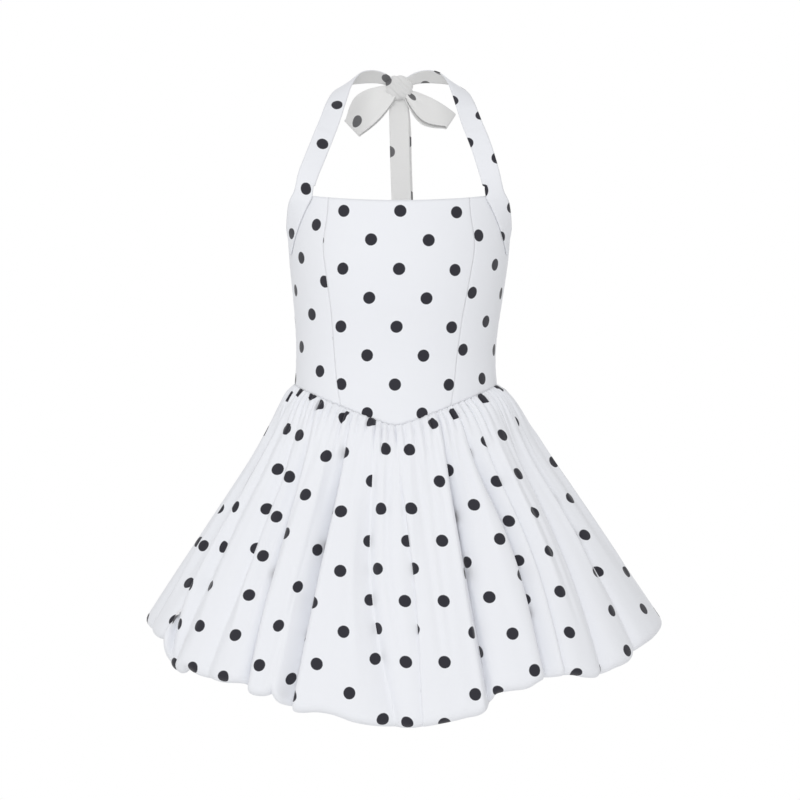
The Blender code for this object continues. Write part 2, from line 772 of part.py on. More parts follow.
def tail_rows(behind, shift, longer):
    rows = []
    last = len(TAIL_ROWS) - 1
    for i, row in enumerate(TAIL_ROWS):
        z = row["z"] - (longer if i == last else 0)
        back = mix(behind[0], behind[1], smooth(i / 2))
        centre = Vector((row["x"] + shift * smooth(i / 2), row["y"] + back, z))
        points = []
        for k in (-1, -0.5, 0, 0.5, 1):
            slant = TAIL_SLANT * k / 2 if i == last else 0.0
            points.append(centre + Vector((k * row["width"] / 2, 0, slant)))
        rows.append(points)
    return rows


def build_neck(print_cloth, tie_cloth, collection, cutters):
    cutter = bpy.data.objects.new("knot_cutter", knot_mesh("knot_cutter", KNOT_GAP))
    cutter.hide_render = True
    cutter.display_type = "WIRE"
    cutters.objects.link(cutter)
    add_object("neck_knot", knot_mesh("neck_knot"), tie_cloth, collection)

    for name, sign, spread in (
        ("halter_strap_left", -1, 0.0),
        ("halter_strap_right", 1, RIGHT_STRAP_SPREAD),
    ):
        sections = [armhole_section(row, sign) for row in ARMHOLE_ROWS]
        count = len(FREE_ROWS)
        for i, row in enumerate(FREE_ROWS):
            share = smooth(min(i / 2, 1.0)) * (1 - smooth((i - count + 4) / 3))
            sections.append(free_section(row, sign, spread * share))
        rows = strip_rows(sections, STRAP_STEPS, STRAP_COLUMNS, crown=STRAP_CROWN)
        lift = LAY_GAP / MM + CLOTH / MM / 2
        rows = [
            [clear_of_form(p, lift) if p.z < NECK_CORNER_Z + STRAP_WIDTH / 2 else p for p in row]
            for row in rows
        ]
        if sign > 0:
            rows = [row[::-1] for row in rows]
        strap = cloth_piece(name, rows, print_cloth, collection, side=0.0)
        cut_by_knot(strap, cutter)

    for name, place in (("bow_loop_left", LOOP_LEFT), ("bow_loop_right", LOOP_RIGHT)):
        loop = cloth_piece(name, loop_rows(place), tie_cloth, collection, side=0.0)
        cut_by_knot(loop, cutter)

    for name, behind, shift, longer in (
        ("tie_tail_inner", (0.0, 0.0), 0.0, 0.0),
        ("tie_tail_outer", (TAIL_BEHIND_KNOT, TAIL_BEHIND), TAIL_OUTER_SHIFT, TAIL_OUTER_LONGER),
    ):
        tail = cloth_piece(name, tail_rows(behind, shift, longer), tie_cloth, collection, side=0.0)
        cut_by_knot(tail, cutter)


# ---- zip ------------------------------------------------------------------------------------------
def zip_rows():
    """The tape's strip: down the inside of the back panels and of the skirt's back seam."""
    rows = []
    inside = CLOTH / MM + LAY_GAP / MM + ZIP_THICK / 2
    half = ZIP_WIDTH / 2
    top = UNDERARM_Z - 1.0
    bottom = WAIST_SIDE_Z - 1.0
    for i in range(ZIP_STEPS + 1):
        z = mix(top, bottom, i / ZIP_STEPS)
        slip = (ZIP_INSET - LAY_GAP / MM) * smooth((i - ZIP_STEPS + 3) / 3)
        centre = form_point(math.pi, z) - Vector((0, inside + slip, 0))
        rows.append([centre + Vector((k * half, -abs(k) * ZIP_SAG, 0)) for k in (1, 0, -1)])
    length = skirt_length(math.pi)
    for step in ZIP_SKIRT_STEPS:
        down = step * ZIP_BELOW_WAIST / length
        point = skirt_point(math.pi, down, 0)
        outward, _ = skirt_frame(math.pi, down)
        centre = point - outward * (CLOTH / MM / 2 + ZIP_INSET)
        rows.append([centre + Vector((k * half, -abs(k) * ZIP_SAG, 0)) for k in (1, 0, -1)])
    return rows


def box_mesh(name, size, centre, tilt=0.0):
    work = bmesh.new()
    bmesh.ops.create_cube(work, size=1.0)
    bmesh.ops.scale(work, vec=Vector(size) * MM, verts=work.verts)
    bmesh.ops.rotate(work, matrix=Matrix.Rotation(tilt, 3, "X"), verts=work.verts)
    bmesh.ops.translate(work, vec=Vector(centre) * MM, verts=work.verts)
    mesh = bpy.data.meshes.new(name)
    work.to_mesh(mesh)
    work.free()
    return mesh


def bar_mesh(name, radius, length, centre):
    work = bmesh.new()
    bmesh.ops.create_cone(
        work, cap_ends=True, segments=16, radius1=radius * MM, radius2=radius * MM, depth=length * MM,
    )
    bmesh.ops.rotate(work, matrix=Matrix.Rotation(math.pi / 2, 3, "Y"), verts=work.verts)
    bmesh.ops.translate(work, vec=Vector(centre) * MM, verts=work.verts)
    mesh = bpy.data.meshes.new(name)
    work.to_mesh(mesh)
    work.free()
    return mesh


def add_spline(curve, points):
    spline = curve.splines.new("POLY")
    spline.points.add(len(points) - 1)
    for point, (across, up) in zip(spline.points, points):
        point.co = (across * MM, up * MM, 0, 1)
    spline.use_cyclic_u = True


def pull_curve():
    """The pull's side outline: an eye round the bar and a flat tab hanging from it."""
    outline = bpy.data.curves.new("zip_pull", "CURVE")
    outline.dimensions = "2D"
    outline.fill_mode = "BOTH"
    outline.extrude = PULL_WIDTH * MM / 2
    half = PULL_THICK / 2
    start = math.asin(half / EYE_RADIUS) - math.pi / 2
    eye = [mix(start, math.pi - start, share) for share in even_shares(EYE_POINTS)]
    shape = [(EYE_RADIUS * math.cos(t), EYE_RADIUS * math.sin(t)) for t in eye]
    shape += [(-half, half - PULL_LENGTH), (-half / 2, -PULL_LENGTH)]
    shape += [(half / 2, -PULL_LENGTH), (half, half - PULL_LENGTH)]
    add_spline(outline, shape)
    bore = [math.radians(-turn) for turn in range(0, 360, 30)]
    add_spline(outline, [(EYE_BORE * math.cos(t), EYE_BORE * math.sin(t)) for t in bore])
    return outline


def build_zip(tape, metal, collection, cutters):
    cloth_piece("back_zip", zip_rows(), tape, collection, side=0.0, thick=ZIP_THICK * MM)
    top = form_point(math.pi, UNDERARM_Z)
    slider_y = top.y + LAY_GAP / MM + SLIDER_SIZE[1] / 2
    slider_z = UNDERARM_Z - SLIDER_DROP
    slope = form_normal(math.pi, slider_z)
    slider = add_object(
        "zip_slider",
        box_mesh("zip_slider", SLIDER_SIZE, (top.x, slider_y, slider_z), -math.asin(slope.z)),
        metal, collection,
    )
    edge = slider.modifiers.new("edge", "BEVEL")
    edge.width = 0.5 * MM
    edge.segments = 2

    bar_y = slider_y + SLIDER_SIZE[1] / 2 + BAR_STAND_OFF
    ear_x = PULL_WIDTH / 2 + LAY_GAP / MM + EAR_THICK / 2
    ear_depth = BAR_STAND_OFF + EAR_HALF_HEIGHT + 1.0
    helpers = [
        box_mesh(
            "slider_ear", (EAR_THICK, ear_depth, 2 * EAR_HALF_HEIGHT),
            (top.x + side * ear_x, bar_y + EAR_HALF_HEIGHT - ear_depth / 2, slider_z),
        )
        for side in (-1, 1)
    ]
    helpers.append(bar_mesh("slider_bar", BAR_RADIUS, 2 * ear_x, (top.x, bar_y, slider_z)))
    for mesh in helpers:
        helper = bpy.data.objects.new(mesh.name, mesh)
        helper.hide_render = True
        helper.display_type = "WIRE"
        cutters.objects.link(helper)
        join = slider.modifiers.new("join", "BOOLEAN")
        join.operation = "UNION"
        join.solver = "EXACT"
        join.object = helper

    pull = bpy.data.objects.new("zip_pull", pull_curve())
    pull.data.materials.append(metal)
    pull.rotation_euler = (math.pi / 2, 0, math.pi / 2)
    pull.location = Vector((top.x, bar_y, slider_z)) * MM
    collection.objects.link(pull)


def main():
    clear_scene()
    dress = bpy.data.collections.new("bubble_dress")
    cutters = bpy.data.collections.new("cutters")
    bpy.context.scene.collection.children.link(dress)
    bpy.context.scene.collection.children.link(cutters)
    materials = make_materials()
    build_bodice(materials["cotton_print"], dress)
    build_skirt(materials["cotton_print"], dress)
    build_neck(materials["cotton_print"], materials["cotton_tie"], dress, cutters)
    build_zip(materials["zip_tape"], materials["zip_metal"], dress, cutters)


main()
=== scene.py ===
"""Looks of the halter-neck bubble dress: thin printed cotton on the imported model's form.

The origin is at the nape, +Z is up and the front faces -Y. Shapes are worked out in millimetres
and degrees and turned into metres when a mesh is made. Materials, lights and the camera are in
metres. Left and right are as seen from the front.
"""

import math
from types import SimpleNamespace

import bmesh
import bpy
import numpy as np
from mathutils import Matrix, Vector


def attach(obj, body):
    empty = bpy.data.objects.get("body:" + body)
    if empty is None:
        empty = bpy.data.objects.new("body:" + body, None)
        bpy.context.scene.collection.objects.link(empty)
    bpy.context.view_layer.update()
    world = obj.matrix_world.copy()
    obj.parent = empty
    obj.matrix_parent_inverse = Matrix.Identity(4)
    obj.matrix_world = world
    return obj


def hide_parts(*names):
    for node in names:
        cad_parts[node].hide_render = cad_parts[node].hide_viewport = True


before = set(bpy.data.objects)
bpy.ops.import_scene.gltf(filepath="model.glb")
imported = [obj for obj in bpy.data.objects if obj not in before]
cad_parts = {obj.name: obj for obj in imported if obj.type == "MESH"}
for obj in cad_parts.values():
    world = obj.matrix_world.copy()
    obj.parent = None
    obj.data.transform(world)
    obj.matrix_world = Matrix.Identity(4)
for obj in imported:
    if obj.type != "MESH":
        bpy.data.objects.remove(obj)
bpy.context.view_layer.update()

MM = 0.001


# ---- tables and curves ----
def table(columns, *rows):
    return [SimpleNamespace(**dict(zip(columns.split(), row))) for row in rows]


def smooth(x):
    x = np.clip(x, 0.0, 1.0)
    return x * x * (3 - 2 * x)


def mix(a, b, share):
    return a + (b - a) * share


class Curve:
    """A smooth curve through given points, straight past its ends."""

    def __init__(self, xs, ys):
        order = np.argsort(xs)
        self.xs = np.asarray(xs, float)[order]
        self.ys = np.asarray(ys, float)[order]
        at = np.arange(len(self.xs))
        low, high = np.maximum(at - 1, 0), np.minimum(at + 1, at[-1])
        self.slopes = (self.ys[high] - self.ys[low]) / (self.xs[high] - self.xs[low])

    def __call__(self, x):
        x = np.asarray(x, float)
        i = np.clip(np.searchsorted(self.xs, x, side="right") - 1, 0, len(self.xs) - 2)
        step = self.xs[i + 1] - self.xs[i]
        t = np.clip((x - self.xs[i]) / step, 0.0, 1.0)
        bend = t * (1 - t) * step * ((1 - t) * self.slopes[i] - t * self.slopes[i + 1])
        below = np.minimum(x - self.xs[0], 0.0) * self.slopes[0]
        above = np.maximum(x - self.xs[-1], 0.0) * self.slopes[-1]
        return mix(self.ys[i], self.ys[i + 1], smooth(t)) + bend + below + above


def stack(x, y, z):
    return np.stack(np.broadcast_arrays(x, y, z), axis=-1).astype(float)


def length_of(v):
    return np.sqrt((v * v).sum(-1))


def unit(v):
    return v / np.maximum(length_of(v), 1e-12)[..., None]


# ---- body form, repeated from the part's source ----
CLOTH = 1.4
LAY_GAP = 0.5
AXIS_Y = -75.0
OVAL_POWER = 2.2
FORM = (  # height, half width, front, back and shift
    (-130, 142, 108, 96, 0), (-160, 142, 114, 97, 0), (-206, 140.5, 120, 97.5, 0),
    (-240, 137.5, 121, 96, -0.5), (-280, 132.5, 116, 92.5, -1.5), (-320, 128, 107, 88.5, -3),
    (-355, 126.5, 101, 86, -4), (-387, 128.5, 100.5, 86.5, -4), (-415, 133, 103, 90, -4),
    (-445, 140, 107, 95, -4),
)
FORM_CURVES = [Curve([row[0] for row in FORM], [row[k] for row in FORM]) for k in range(1, 5)]
NECK_CENTRE_Z = -160.5
NECK_CORNER_Z = -152.5
NECK_CORNER_X = 107.0
UNDERARM_Z = -206.5
WAIST_SIDE_Z = -386.5
WAIST_POINT_DROP = 50.0
WAIST_POINT_SOFT = 0.07
# How far the princess seam runs from the centre, by height.
PRINCESS = Curve(*zip(
    (-150, 87), (-178, 89), (-215, 93.8), (-252, 89.2), (-301, 81.5), (-356, 75.7), (-387, 72.5),
    (-425, 66),
))
ANGLE_STEP = 0.01  # radians and mm between the points that a direction is read from
HEIGHT_STEP = 2.0


def oval(angle, half_width, front, back, shift, power=OVAL_POWER):
    s, c = np.sin(angle), np.cos(angle)
    size = (np.abs(s) ** power + np.abs(c) ** power) ** (1 / power)
    return shift + half_width * s / size, AXIS_Y - np.where(c > 0, front, back) * c / size


def form_point(angle, height):
    return stack(*oval(angle, *(curve(height) for curve in FORM_CURVES)), height)


def form_normal(angle, height):
    around = form_point(angle + ANGLE_STEP, height) - form_point(angle - ANGLE_STEP, height)
    upward = form_point(angle, height + HEIGHT_STEP) - form_point(angle, height - HEIGHT_STEP)
    return unit(np.cross(around, upward))


def angle_at(distance, height):
    share = np.minimum(np.abs(distance) / FORM_CURVES[0](height), 0.9999)
    rest = (1 - share**OVAL_POWER) ** (1 / OVAL_POWER)
    return np.copysign(np.arctan2(share, rest), distance)


def waist_height(angle):
    across = np.sqrt(np.sin(angle) ** 2 + WAIST_POINT_SOFT**2)
    full = math.sqrt(1 + WAIST_POINT_SOFT**2)
    drop = WAIST_POINT_DROP * (full - across) / (full - WAIST_POINT_SOFT)
    return np.where(np.cos(angle) > 0, WAIST_SIDE_Z - drop, WAIST_SIDE_Z)


# ---- skirt form ----
SKIRT_GAP = 1.5
HEM_OVAL = (325.0, 208.0, 205.0, 6.0, 2.0)  # half width, front, back, shift and power
SPRING_OUT = 8.5
SPRING_RIGHT = 2.5
SPRING_LENGTH = 11.0
ROLL_RADIUS = 10.0
ROLL_SLOPE = 0.85
RETURN_LENGTH = 32.0
RETURN_TAPER = 6.0
FOLD_GROWS = 0.35  # shares of the skirt's length
FOLD_TURNS = 0.5
LIFT_STARTS = 0.4
# Height of the hem, by the angle from the front.
HEM = Curve(*zip(
    (-12, -792), (0, -794.5), (12, -789), (22, -777), (33, -757), (45, -748), (55, -740),
    (64, -724), (72, -709), (80, -697), (90, -691), (100, -696), (112, -708), (126, -721),
    (145, -732), (168, -738), (192, -738),
))
# How far the tucks that hold its bubble draw the hem up, by angle.
TUCKS = Curve(*zip(
    (-90, 5), (-81, 6), (-74, 10), (-67.5, 19), (-65.6, 21), (-63.8, -10), (-61, -6), (-56.5, 9),
    (-51, 6), (-45, 5), (-38, 6), (-35, -1), (-32, 1), (-29.5, 9.5), (-27, -1), (-23, 0), (-19, 7),
    (-15, 9), (-10, 4), (0, 2), (8, 5), (13, 7.5), (16.5, 9), (19.5, 24), (23, 25), (27, 20),
    (30, 22), (34, 18.5), (40, 17.5), (45, 10), (49, 7), (54, 12), (60, 10), (66, 12.5), (72, 9),
    (80, 4), (90, 2.5), (100, 9), (110, 2), (119, 11), (124, 1), (136, 8), (144, 3), (152, 12),
    (158, 0), (172, 6), (184, 1), (196, 9), (203, -1), (211, 10), (222, 2), (226, 8), (239, 10),
    (244, -1), (256, 6), (270, 5),
))

# Fold lines of the skirt, with its seams at -180, -90 and 90: angle at the waist, half way and
# at the hem, depth half way and at the hem, width, lift of the hem, number of small gathers
# before the next line, how sharp the fold is, and which of its walls stands steep (1 the right
# one, -1 the left). The last three place the print on the flute to its right: turned, as the
# panels are cut with a flare, and moved across and down.
FOLDS = table(
    "waist middle hem depth hem_depth width lift gathers sharp steep turn across down",
    (-180, -180, -180, 0, 0, 10, 0, 2, 0, 0, -5, 12, 20),
    (-167, -167, -166, 16, 12, 13, 5, 3, 0.4, -0.5, -18, -25, 8),
    (-149, -150, -151, 20, 16, 12, 8, 3, 0.9, 0.9, -32, 10, -14),
    (-134, -134, -136, 15, 12, 14, 5, 3, 0.3, 0.2, -45, 31, 5),
    (-118, -120, -121, 19, 15, 12, 7, 3, 0.8, 0.8, -58, -8, 22),
    (-102, -103, -103, 15, 12, 13, 5, 2, 0.4, -0.4, -70, 20, -6),
    (-90, -90, -90, 0, 0, 10, 0, 2, 0, 0, 66.1, -10.2, -23.7),
    (-83, -83, -79, 8, 8, 10, 5, 3, 0.3, 0.3, 56.2, -65.7, -19.6),
    (-69.9, -70.8, -64, 17, 14, 12, 8, 4, 0.3, 0.3, 55.7, -65.5, -3.2),
    (-53, -49.9, -48.3, 12, 9, 14, 3, 3, 0.1, 0.2, 45.1, -62.1, -7.1),
    (-43.3, -39.9, -36.2, 25, 19, 12, 9, 5, 1, 0.9, 28.4, -36.9, -9.8),
    (-22.5, -24.5, -24.9, 30, 23, 12, 9, 3, 1, 1, 6.3, -46.3, -9.6),
    (-10.1, -9, -2, 15, 12, 15, 4, 3, 0.2, 0.5, -6.6, -10, -6.3),
    (-0.2, 3.8, 3.9, 4, 3, 5, 1, 5, 1, 1, -5.8, -67, -9.8),
    (21.9, 18.7, 17.6, 29, 23, 12, 9, 3, 1, -1, -24, -25.3, -31.2),
    (31.3, 36.2, 32.6, 25, 21, 12, 9, 2, 0.7, -0.8, -52.6, -31.8, -1.1),
    (39, 43, 37.5, 7, 6, 6, 2, 4, 0.8, -0.8, -48.2, -18.6, -8.3),
    (58.8, 56.9, 49.4, 16, 12, 13, 6, 3, 0.4, -0.5, -46.8, -59.7, -23.7),
    (69.4, 68, 62.9, 12, 10, 13, 5, 4, 0.3, -0.3, -62.4, -73.5, -12.7),
    (90, 90, 90, 0, 0, 10, 0, 2, 0, 0, 70, 14, 9),
    (101, 103, 104, 16, 13, 13, 5, 3, 0.4, 0.4, 58, -22, -11),
    (117, 119, 120, 18, 14, 12, 7, 3, 0.8, -0.8, 45, 5, 18),
    (133, 135, 137, 16, 12, 14, 5, 3, 0.3, -0.2, 32, 27, -7),
    (150, 150, 152, 20, 16, 12, 8, 3, 0.9, -0.9, 18, -13, 3),
    (166, 167, 167, 16, 12, 13, 5, 2, 0.4, 0.5, 5, -16, 21),
)


def turned_apart(a, b):
    return (a - b + math.pi) % (2 * math.pi) - math.pi


def hem_height(angle):
    turned = np.degrees(turned_apart(angle, 0.0))
    tuck = TUCKS((turned + 90.0) % 360.0 - 90.0)  # the table starts at -90
    return HEM(np.abs(turned)) + ROLL_RADIUS * ROLL_SLOPE + tuck


def skirt_base(angle, down):
    """Points of the smooth skirt, from 0 at the waist to 1 at the hem."""
    waist = waist_height(angle)
    top = form_point(angle, waist) - form_normal(angle, waist) * (CLOTH / 2)
    top[..., 2] -= SKIRT_GAP
    hem = stack(*oval(angle, *HEM_OVAL), hem_height(angle))
    spring = 1 - np.exp(-down * length_of(hem - top) / SPRING_LENGTH)
    outward = stack(np.sin(angle), -np.cos(angle), 0 * angle)
    springs = (SPRING_OUT + SPRING_RIGHT * np.sin(angle)) * (spring - down)
    return mix(top, hem, down[..., None]) + outward * springs[..., None]


def skirt_length(angle):
    one = np.ones_like(angle)
    return length_of(skirt_base(angle, one) - skirt_base(angle, 0 * one))


def skirt_frame(angle, down):
    """Directions out from the smooth skirt and down along it."""
    around = skirt_base(angle + ANGLE_STEP, down) - skirt_base(angle - ANGLE_STEP, down)
    low = np.minimum(down + 0.02, 1.0)
    along = unit(skirt_base(angle, low) - skirt_base(angle, low - 0.04))
    return unit(np.cross(along, around)), along


def fold_angle(fold, down):
    curve = Curve([0.0, 0.5, 1.0], [fold.waist, fold.middle, fold.hem])
    return np.radians(curve(down))


# ---- cloth meshes ----
SEAM_CLOSED = 0.03  # between two sewn edges


def new_object(name, data):
    made = bpy.data.objects.new(name, data)
    bpy.context.scene.collection.objects.link(made)
    return made


def cloth_piece(node, points, corner_uv, materials, thick, side=0.0, flip=False, ending="_cloth"):
    """A sheet of cloth from a grid of points. corner_uv holds the flat cloth's place of each
    face's four corners. The wall lies behind the faces where side is -1 and in them where 0."""
    rows, columns = points.shape[:2]
    r, c = np.meshgrid(np.arange(rows - 1), np.arange(columns - 1), indexing="ij")
    a = (r * columns + c).ravel()
    faces = np.stack([a, a + 1, a + columns + 1, a + columns], axis=1)
    uv = corner_uv.reshape(-1, 4, 2)
    if flip:
        faces, uv = faces[:, ::-1], uv[:, ::-1]
    mesh = bpy.data.meshes.new(node + ending)
    mesh.from_pydata((points.reshape(-1, 3) * MM).tolist(), [], faces.tolist())
    layer = mesh.uv_layers.new(name="flat_cloth")
    layer.data.foreach_set("uv", (uv * MM).ravel().astype(np.float32))
    mesh.shade_smooth()
    piece = new_object(node + ending, mesh)
    for material in materials:
        mesh.materials.append(material)
    wall = piece.modifiers.new("wall", "SOLIDIFY")
    wall.thickness = thick * MM
    wall.offset = side
    wall.use_even_offset = False
    wall.use_quality_normals = True
    wall.material_offset = len(materials) - 1
    wall.material_offset_rim = 0
    return piece, node, points


def corners(values):
    """The four corner values of every face of a grid, in the order of its faces' corners."""
    return np.stack([values[:-1, :-1], values[:-1, 1:], values[1:, 1:], values[1:, :-1]], axis=2)


def run_length(points, axis, middle):
    """Signed length along a grid's rows or columns, counted from one of them."""
    steps = length_of(np.diff(points, axis=axis))
    total = np.concatenate([np.zeros_like(np.take(steps, [0], axis)), np.cumsum(steps, axis)], axis)
    return total - np.take(total, [middle], axis)


def lay_print(across, along, turn, move_across, move_down):
    """Places on flat cloth, turned by an angle and moved."""
    cos, sin = math.cos(math.radians(turn)), math.sin(math.radians(turn))
    u, v = across * cos - along * sin, across * sin + along * cos
    return np.stack([u + move_across, v + move_down], axis=-1)


def inset_ends(points):
    """Draws a panel's two side edges in by half a sewn seam's gap."""
    points = points.copy()
    points[:, 0] += unit(points[:, 1] - points[:, 0]) * (SEAM_CLOSED / 2)
    points[:, -1] += unit(points[:, -2] - points[:, -1]) * (SEAM_CLOSED / 2)
    return points


# ---- skirt cloth ----
COLUMNS_PER_GATHER = 11
SKIRT_ROWS = 74
ROLL_ROWS = 9
RETURN_ROWS = 6
SKIRT_THICK = 0.7
SKIRT_TUCK = 1.35  # how far the gathered edge goes up into the waist seam
SKIRT_FLUSH = 0.35  # how far the gathered edge stands out to meet the bodice's face
SEAM_RISE = 0.75  # height of the gathers in the seam itself
GATHER_FULL = 2.7  # and their full height
GATHER_RISE = 9.0
GATHER_FADE = 54.0
FINE_DEPTH = 0.75  # of the finest gathers, close to the seam
FINE_FADE = 24.0
FOLD_SOFT = (3.5, 0.35)  # rounding of a soft fold's bottom and of a sharp one's
STEEP_WALL, OTHER_WALL = 0.87, 0.45
CREASE_GROWS = 0.12  # shares of the skirt's length over which a crease comes and goes
CREASE_FADES = 0.25
FLUTE_CROWDING = 0.55  # how much closer a flute's columns stand beside its folds
HEM_CROWDING = 0.3  # 0 crowds the rows at the waist, 1 spaces them evenly

# Slow ripples of the hanging cloth: how many go round the skirt, phase, how far they lean on
# the way down, height close to the waist and low down.
RIPPLES = table(
    "count phase lean height low_height",
    (38, 0.4, 1.6, 0.6, 0.6), (61, 2.1, -2.2, 0.5, 0.25), (89, 4.0, 2.8, 0.34, 0.09),
    (127, 1.1, -2.4, 0.24, 0.04), (173, 5.2, 2.0, 0.16, 0.02),
)
# Length and depth of each small gather against the usual one, taken in turn round the waist.
GATHER_LENGTHS = np.array([0.7, 1.15, 0.85, 1.35, 0.6, 1.0, 1.25, 0.75, 1.1, 0.55, 0.95, 1.4, 0.8])
GATHER_DEPTHS = np.array([1.0, 0.7, 1.25, 0.85, 1.1, 0.6, 1.3, 0.9, 1.05, 0.75, 1.2])

# Long soft creases of the skirt: angle at the waist, half way and at the hem, height (a trough is
# negative), width, and the share of the length where each starts and ends.
CREASES = table(
    "waist middle hem height width start stop",
    (-79, -79.5, -74, 3, 5, 0.05, 0.9), (-64, -65, -60, -2.4, 5, 0.1, 0.75),
    (-59, -60, -55, 2.1, 6, 0.1, 1), (-49.5, -49, -43, 3, 4, 0.12, 0.95),
    (-36, -38, -34, -3, 6, 0.08, 0.8), (-30.5, -32, -30, 2.4, 6, 0.1, 0.9),
    (-73.5, -75.5, -70, -2.4, 6, 0.1, 0.95), (-45.5, -44.5, -40.5, -2.6, 5, 0.2, 0.95),
    (-27, -28.5, -27.5, -2.2, 5, 0.15, 0.9), (-17, -18, -15, -2.1, 6, 0.05, 0.5),
    (-3, -3.5, 4, -3.3, 5, 0.1, 0.85), (5, 4.5, 6, 2.4, 6, 0.05, 0.6),
    (12, 12, 12, -1.8, 5, 0.05, 0.9), (-14, -14, -9, 2.2, 6, 0.3, 0.95),
    (8.5, 9, 9.5, -2, 5, 0.2, 0.95), (27, 28, 26, -2.1, 5, 0.05, 0.6), (44, 47, 42, 3, 5, 0.1, 0.8),
    (51, 53, 47, -2.7, 5, 0.1, 0.9), (62.5, 64.5, 58, 2.4, 5, 0.1, 0.8),
    (76, 78, 74, -2.1, 6, 0.1, 0.8), (47.5, 50, 45, -2.4, 5, 0.25, 0.95),
    (66, 67.5, 60.5, -2.6, 6, 0.15, 0.9), (82, 83, 81, 2.6, 6, 0.1, 0.95),
    (109, 111, 112, -2.4, 6, 0.1, 0.8), (125, 127, 129, 2.7, 5, 0.1, 0.9),
    (141, 142, 144, -2.4, 5, 0.1, 0.7), (158, 158, 159, 2.4, 6, 0.1, 0.9),
    (-172, -173, -173, 2.1, 5, 0.1, 0.8), (-158, -158, -158, -2.7, 5, 0.1, 0.9),
    (-141, -142, -143, 2.4, 6, 0.1, 0.8), (-126, -127, -128, -2.4, 5, 0.1, 0.7),
    (-110, -111, -112, 2.4, 6, 0.1, 0.9),
)


def around_scale_at(angle, down):
    """Length of a radian round the smooth skirt."""
    step = 2 * ANGLE_STEP
    return length_of(skirt_base(angle + step, down) - skirt_base(angle - step, down)) / (2 * step)


def fold_shape(signed, fold):
    """1 in the bottom of a fold, falling to 0 beside it, faster on its steep side."""
    soft = mix(*FOLD_SOFT, fold.sharp)
    rounded = np.sqrt(signed**2 + soft**2) - soft
    steep = fold.steep * np.sign(signed)
    width = fold.width * (1 - np.where(steep > 0, STEEP_WALL, OTHER_WALL) * steep)
    return np.exp(-rounded / width)


def gather_profile(turns, cell_start):
    """-1 in the valleys at whole turns and +1 on the ridges between them, uneven in depth."""
    cell = np.floor(turns).astype(int)
    share = smooth(turns - cell)
    cell = cell + cell_start
    depth, reach = (
        mix(sizes[cell % len(sizes)], sizes[(cell + 1) % len(sizes)], share)
        for sizes in (GATHER_DEPTHS, GATHER_LENGTHS)
    )
    return (2 * np.abs(np.sin(math.pi * turns)) ** 0.75 - 1) * depth, reach


def skirt_surface(angle, down, turns, cell_start):
    """Points of the skirt's outer half, with folds, gathers and creases."""
    scale = around_scale_at(angle, down)
    depth = np.zeros_like(angle)
    lift = np.zeros_like(angle)
    for fold in FOLDS:
        shape = fold_shape(turned_apart(angle, fold_angle(fold, down)) * scale, fold)
        grown = fold.depth * smooth(down / FOLD_GROWS)
        grown = mix(grown, fold.hem_depth, smooth((down - FOLD_TURNS) / (1 - FOLD_TURNS)))
        depth += grown * shape
        lift += fold.lift * shape * smooth((down - LIFT_STARTS) / (1 - LIFT_STARTS))
    for crease in CREASES:
        signed = turned_apart(angle, fold_angle(crease, down)) * scale
        ends = smooth((down - crease.start) / CREASE_GROWS)
        ends = ends * (1 - smooth((down - crease.stop + CREASE_FADES) / CREASE_FADES))
        depth -= crease.height * np.exp(-((signed / crease.width) ** 2)) * ends
    for i, ripple in enumerate(RIPPLES):
        patchy = 0.6 + 0.4 * np.sin(5 * angle + 4.0 * down + 1.7 * i)
        wave = np.sin(ripple.count * angle + ripple.phase + ripple.lean * down)
        height = mix(ripple.height, ripple.low_height, smooth((down - 0.15) / 0.4))
        depth -= height * wave * patchy * smooth(down / 0.12)
    outward, along = skirt_frame(angle, down)
    below = down * skirt_length(angle)
    ridge, reach = gather_profile(turns, cell_start)
    rise = mix(SEAM_RISE, GATHER_FULL, smooth(below / GATHER_RISE))
    small = rise * (1 - smooth(below / (GATHER_FADE * reach)))
    fine = FINE_DEPTH * np.sin(2 * math.pi * (2.0 * turns + 0.13 * np.sin(5.3 * turns)))
    fine = fine * smooth(below / 3.0 + 0.45) * np.exp(-below / (FINE_FADE * reach))
    flush = SKIRT_FLUSH * (1 - smooth(below / 12.0))
    shape = skirt_base(angle, down) + outward * (ridge * small + fine + flush - depth)[..., None]
    shape[..., 2] += SKIRT_TUCK * (1 - smooth(below / 6.0))
    return shape - along * lift[..., None]


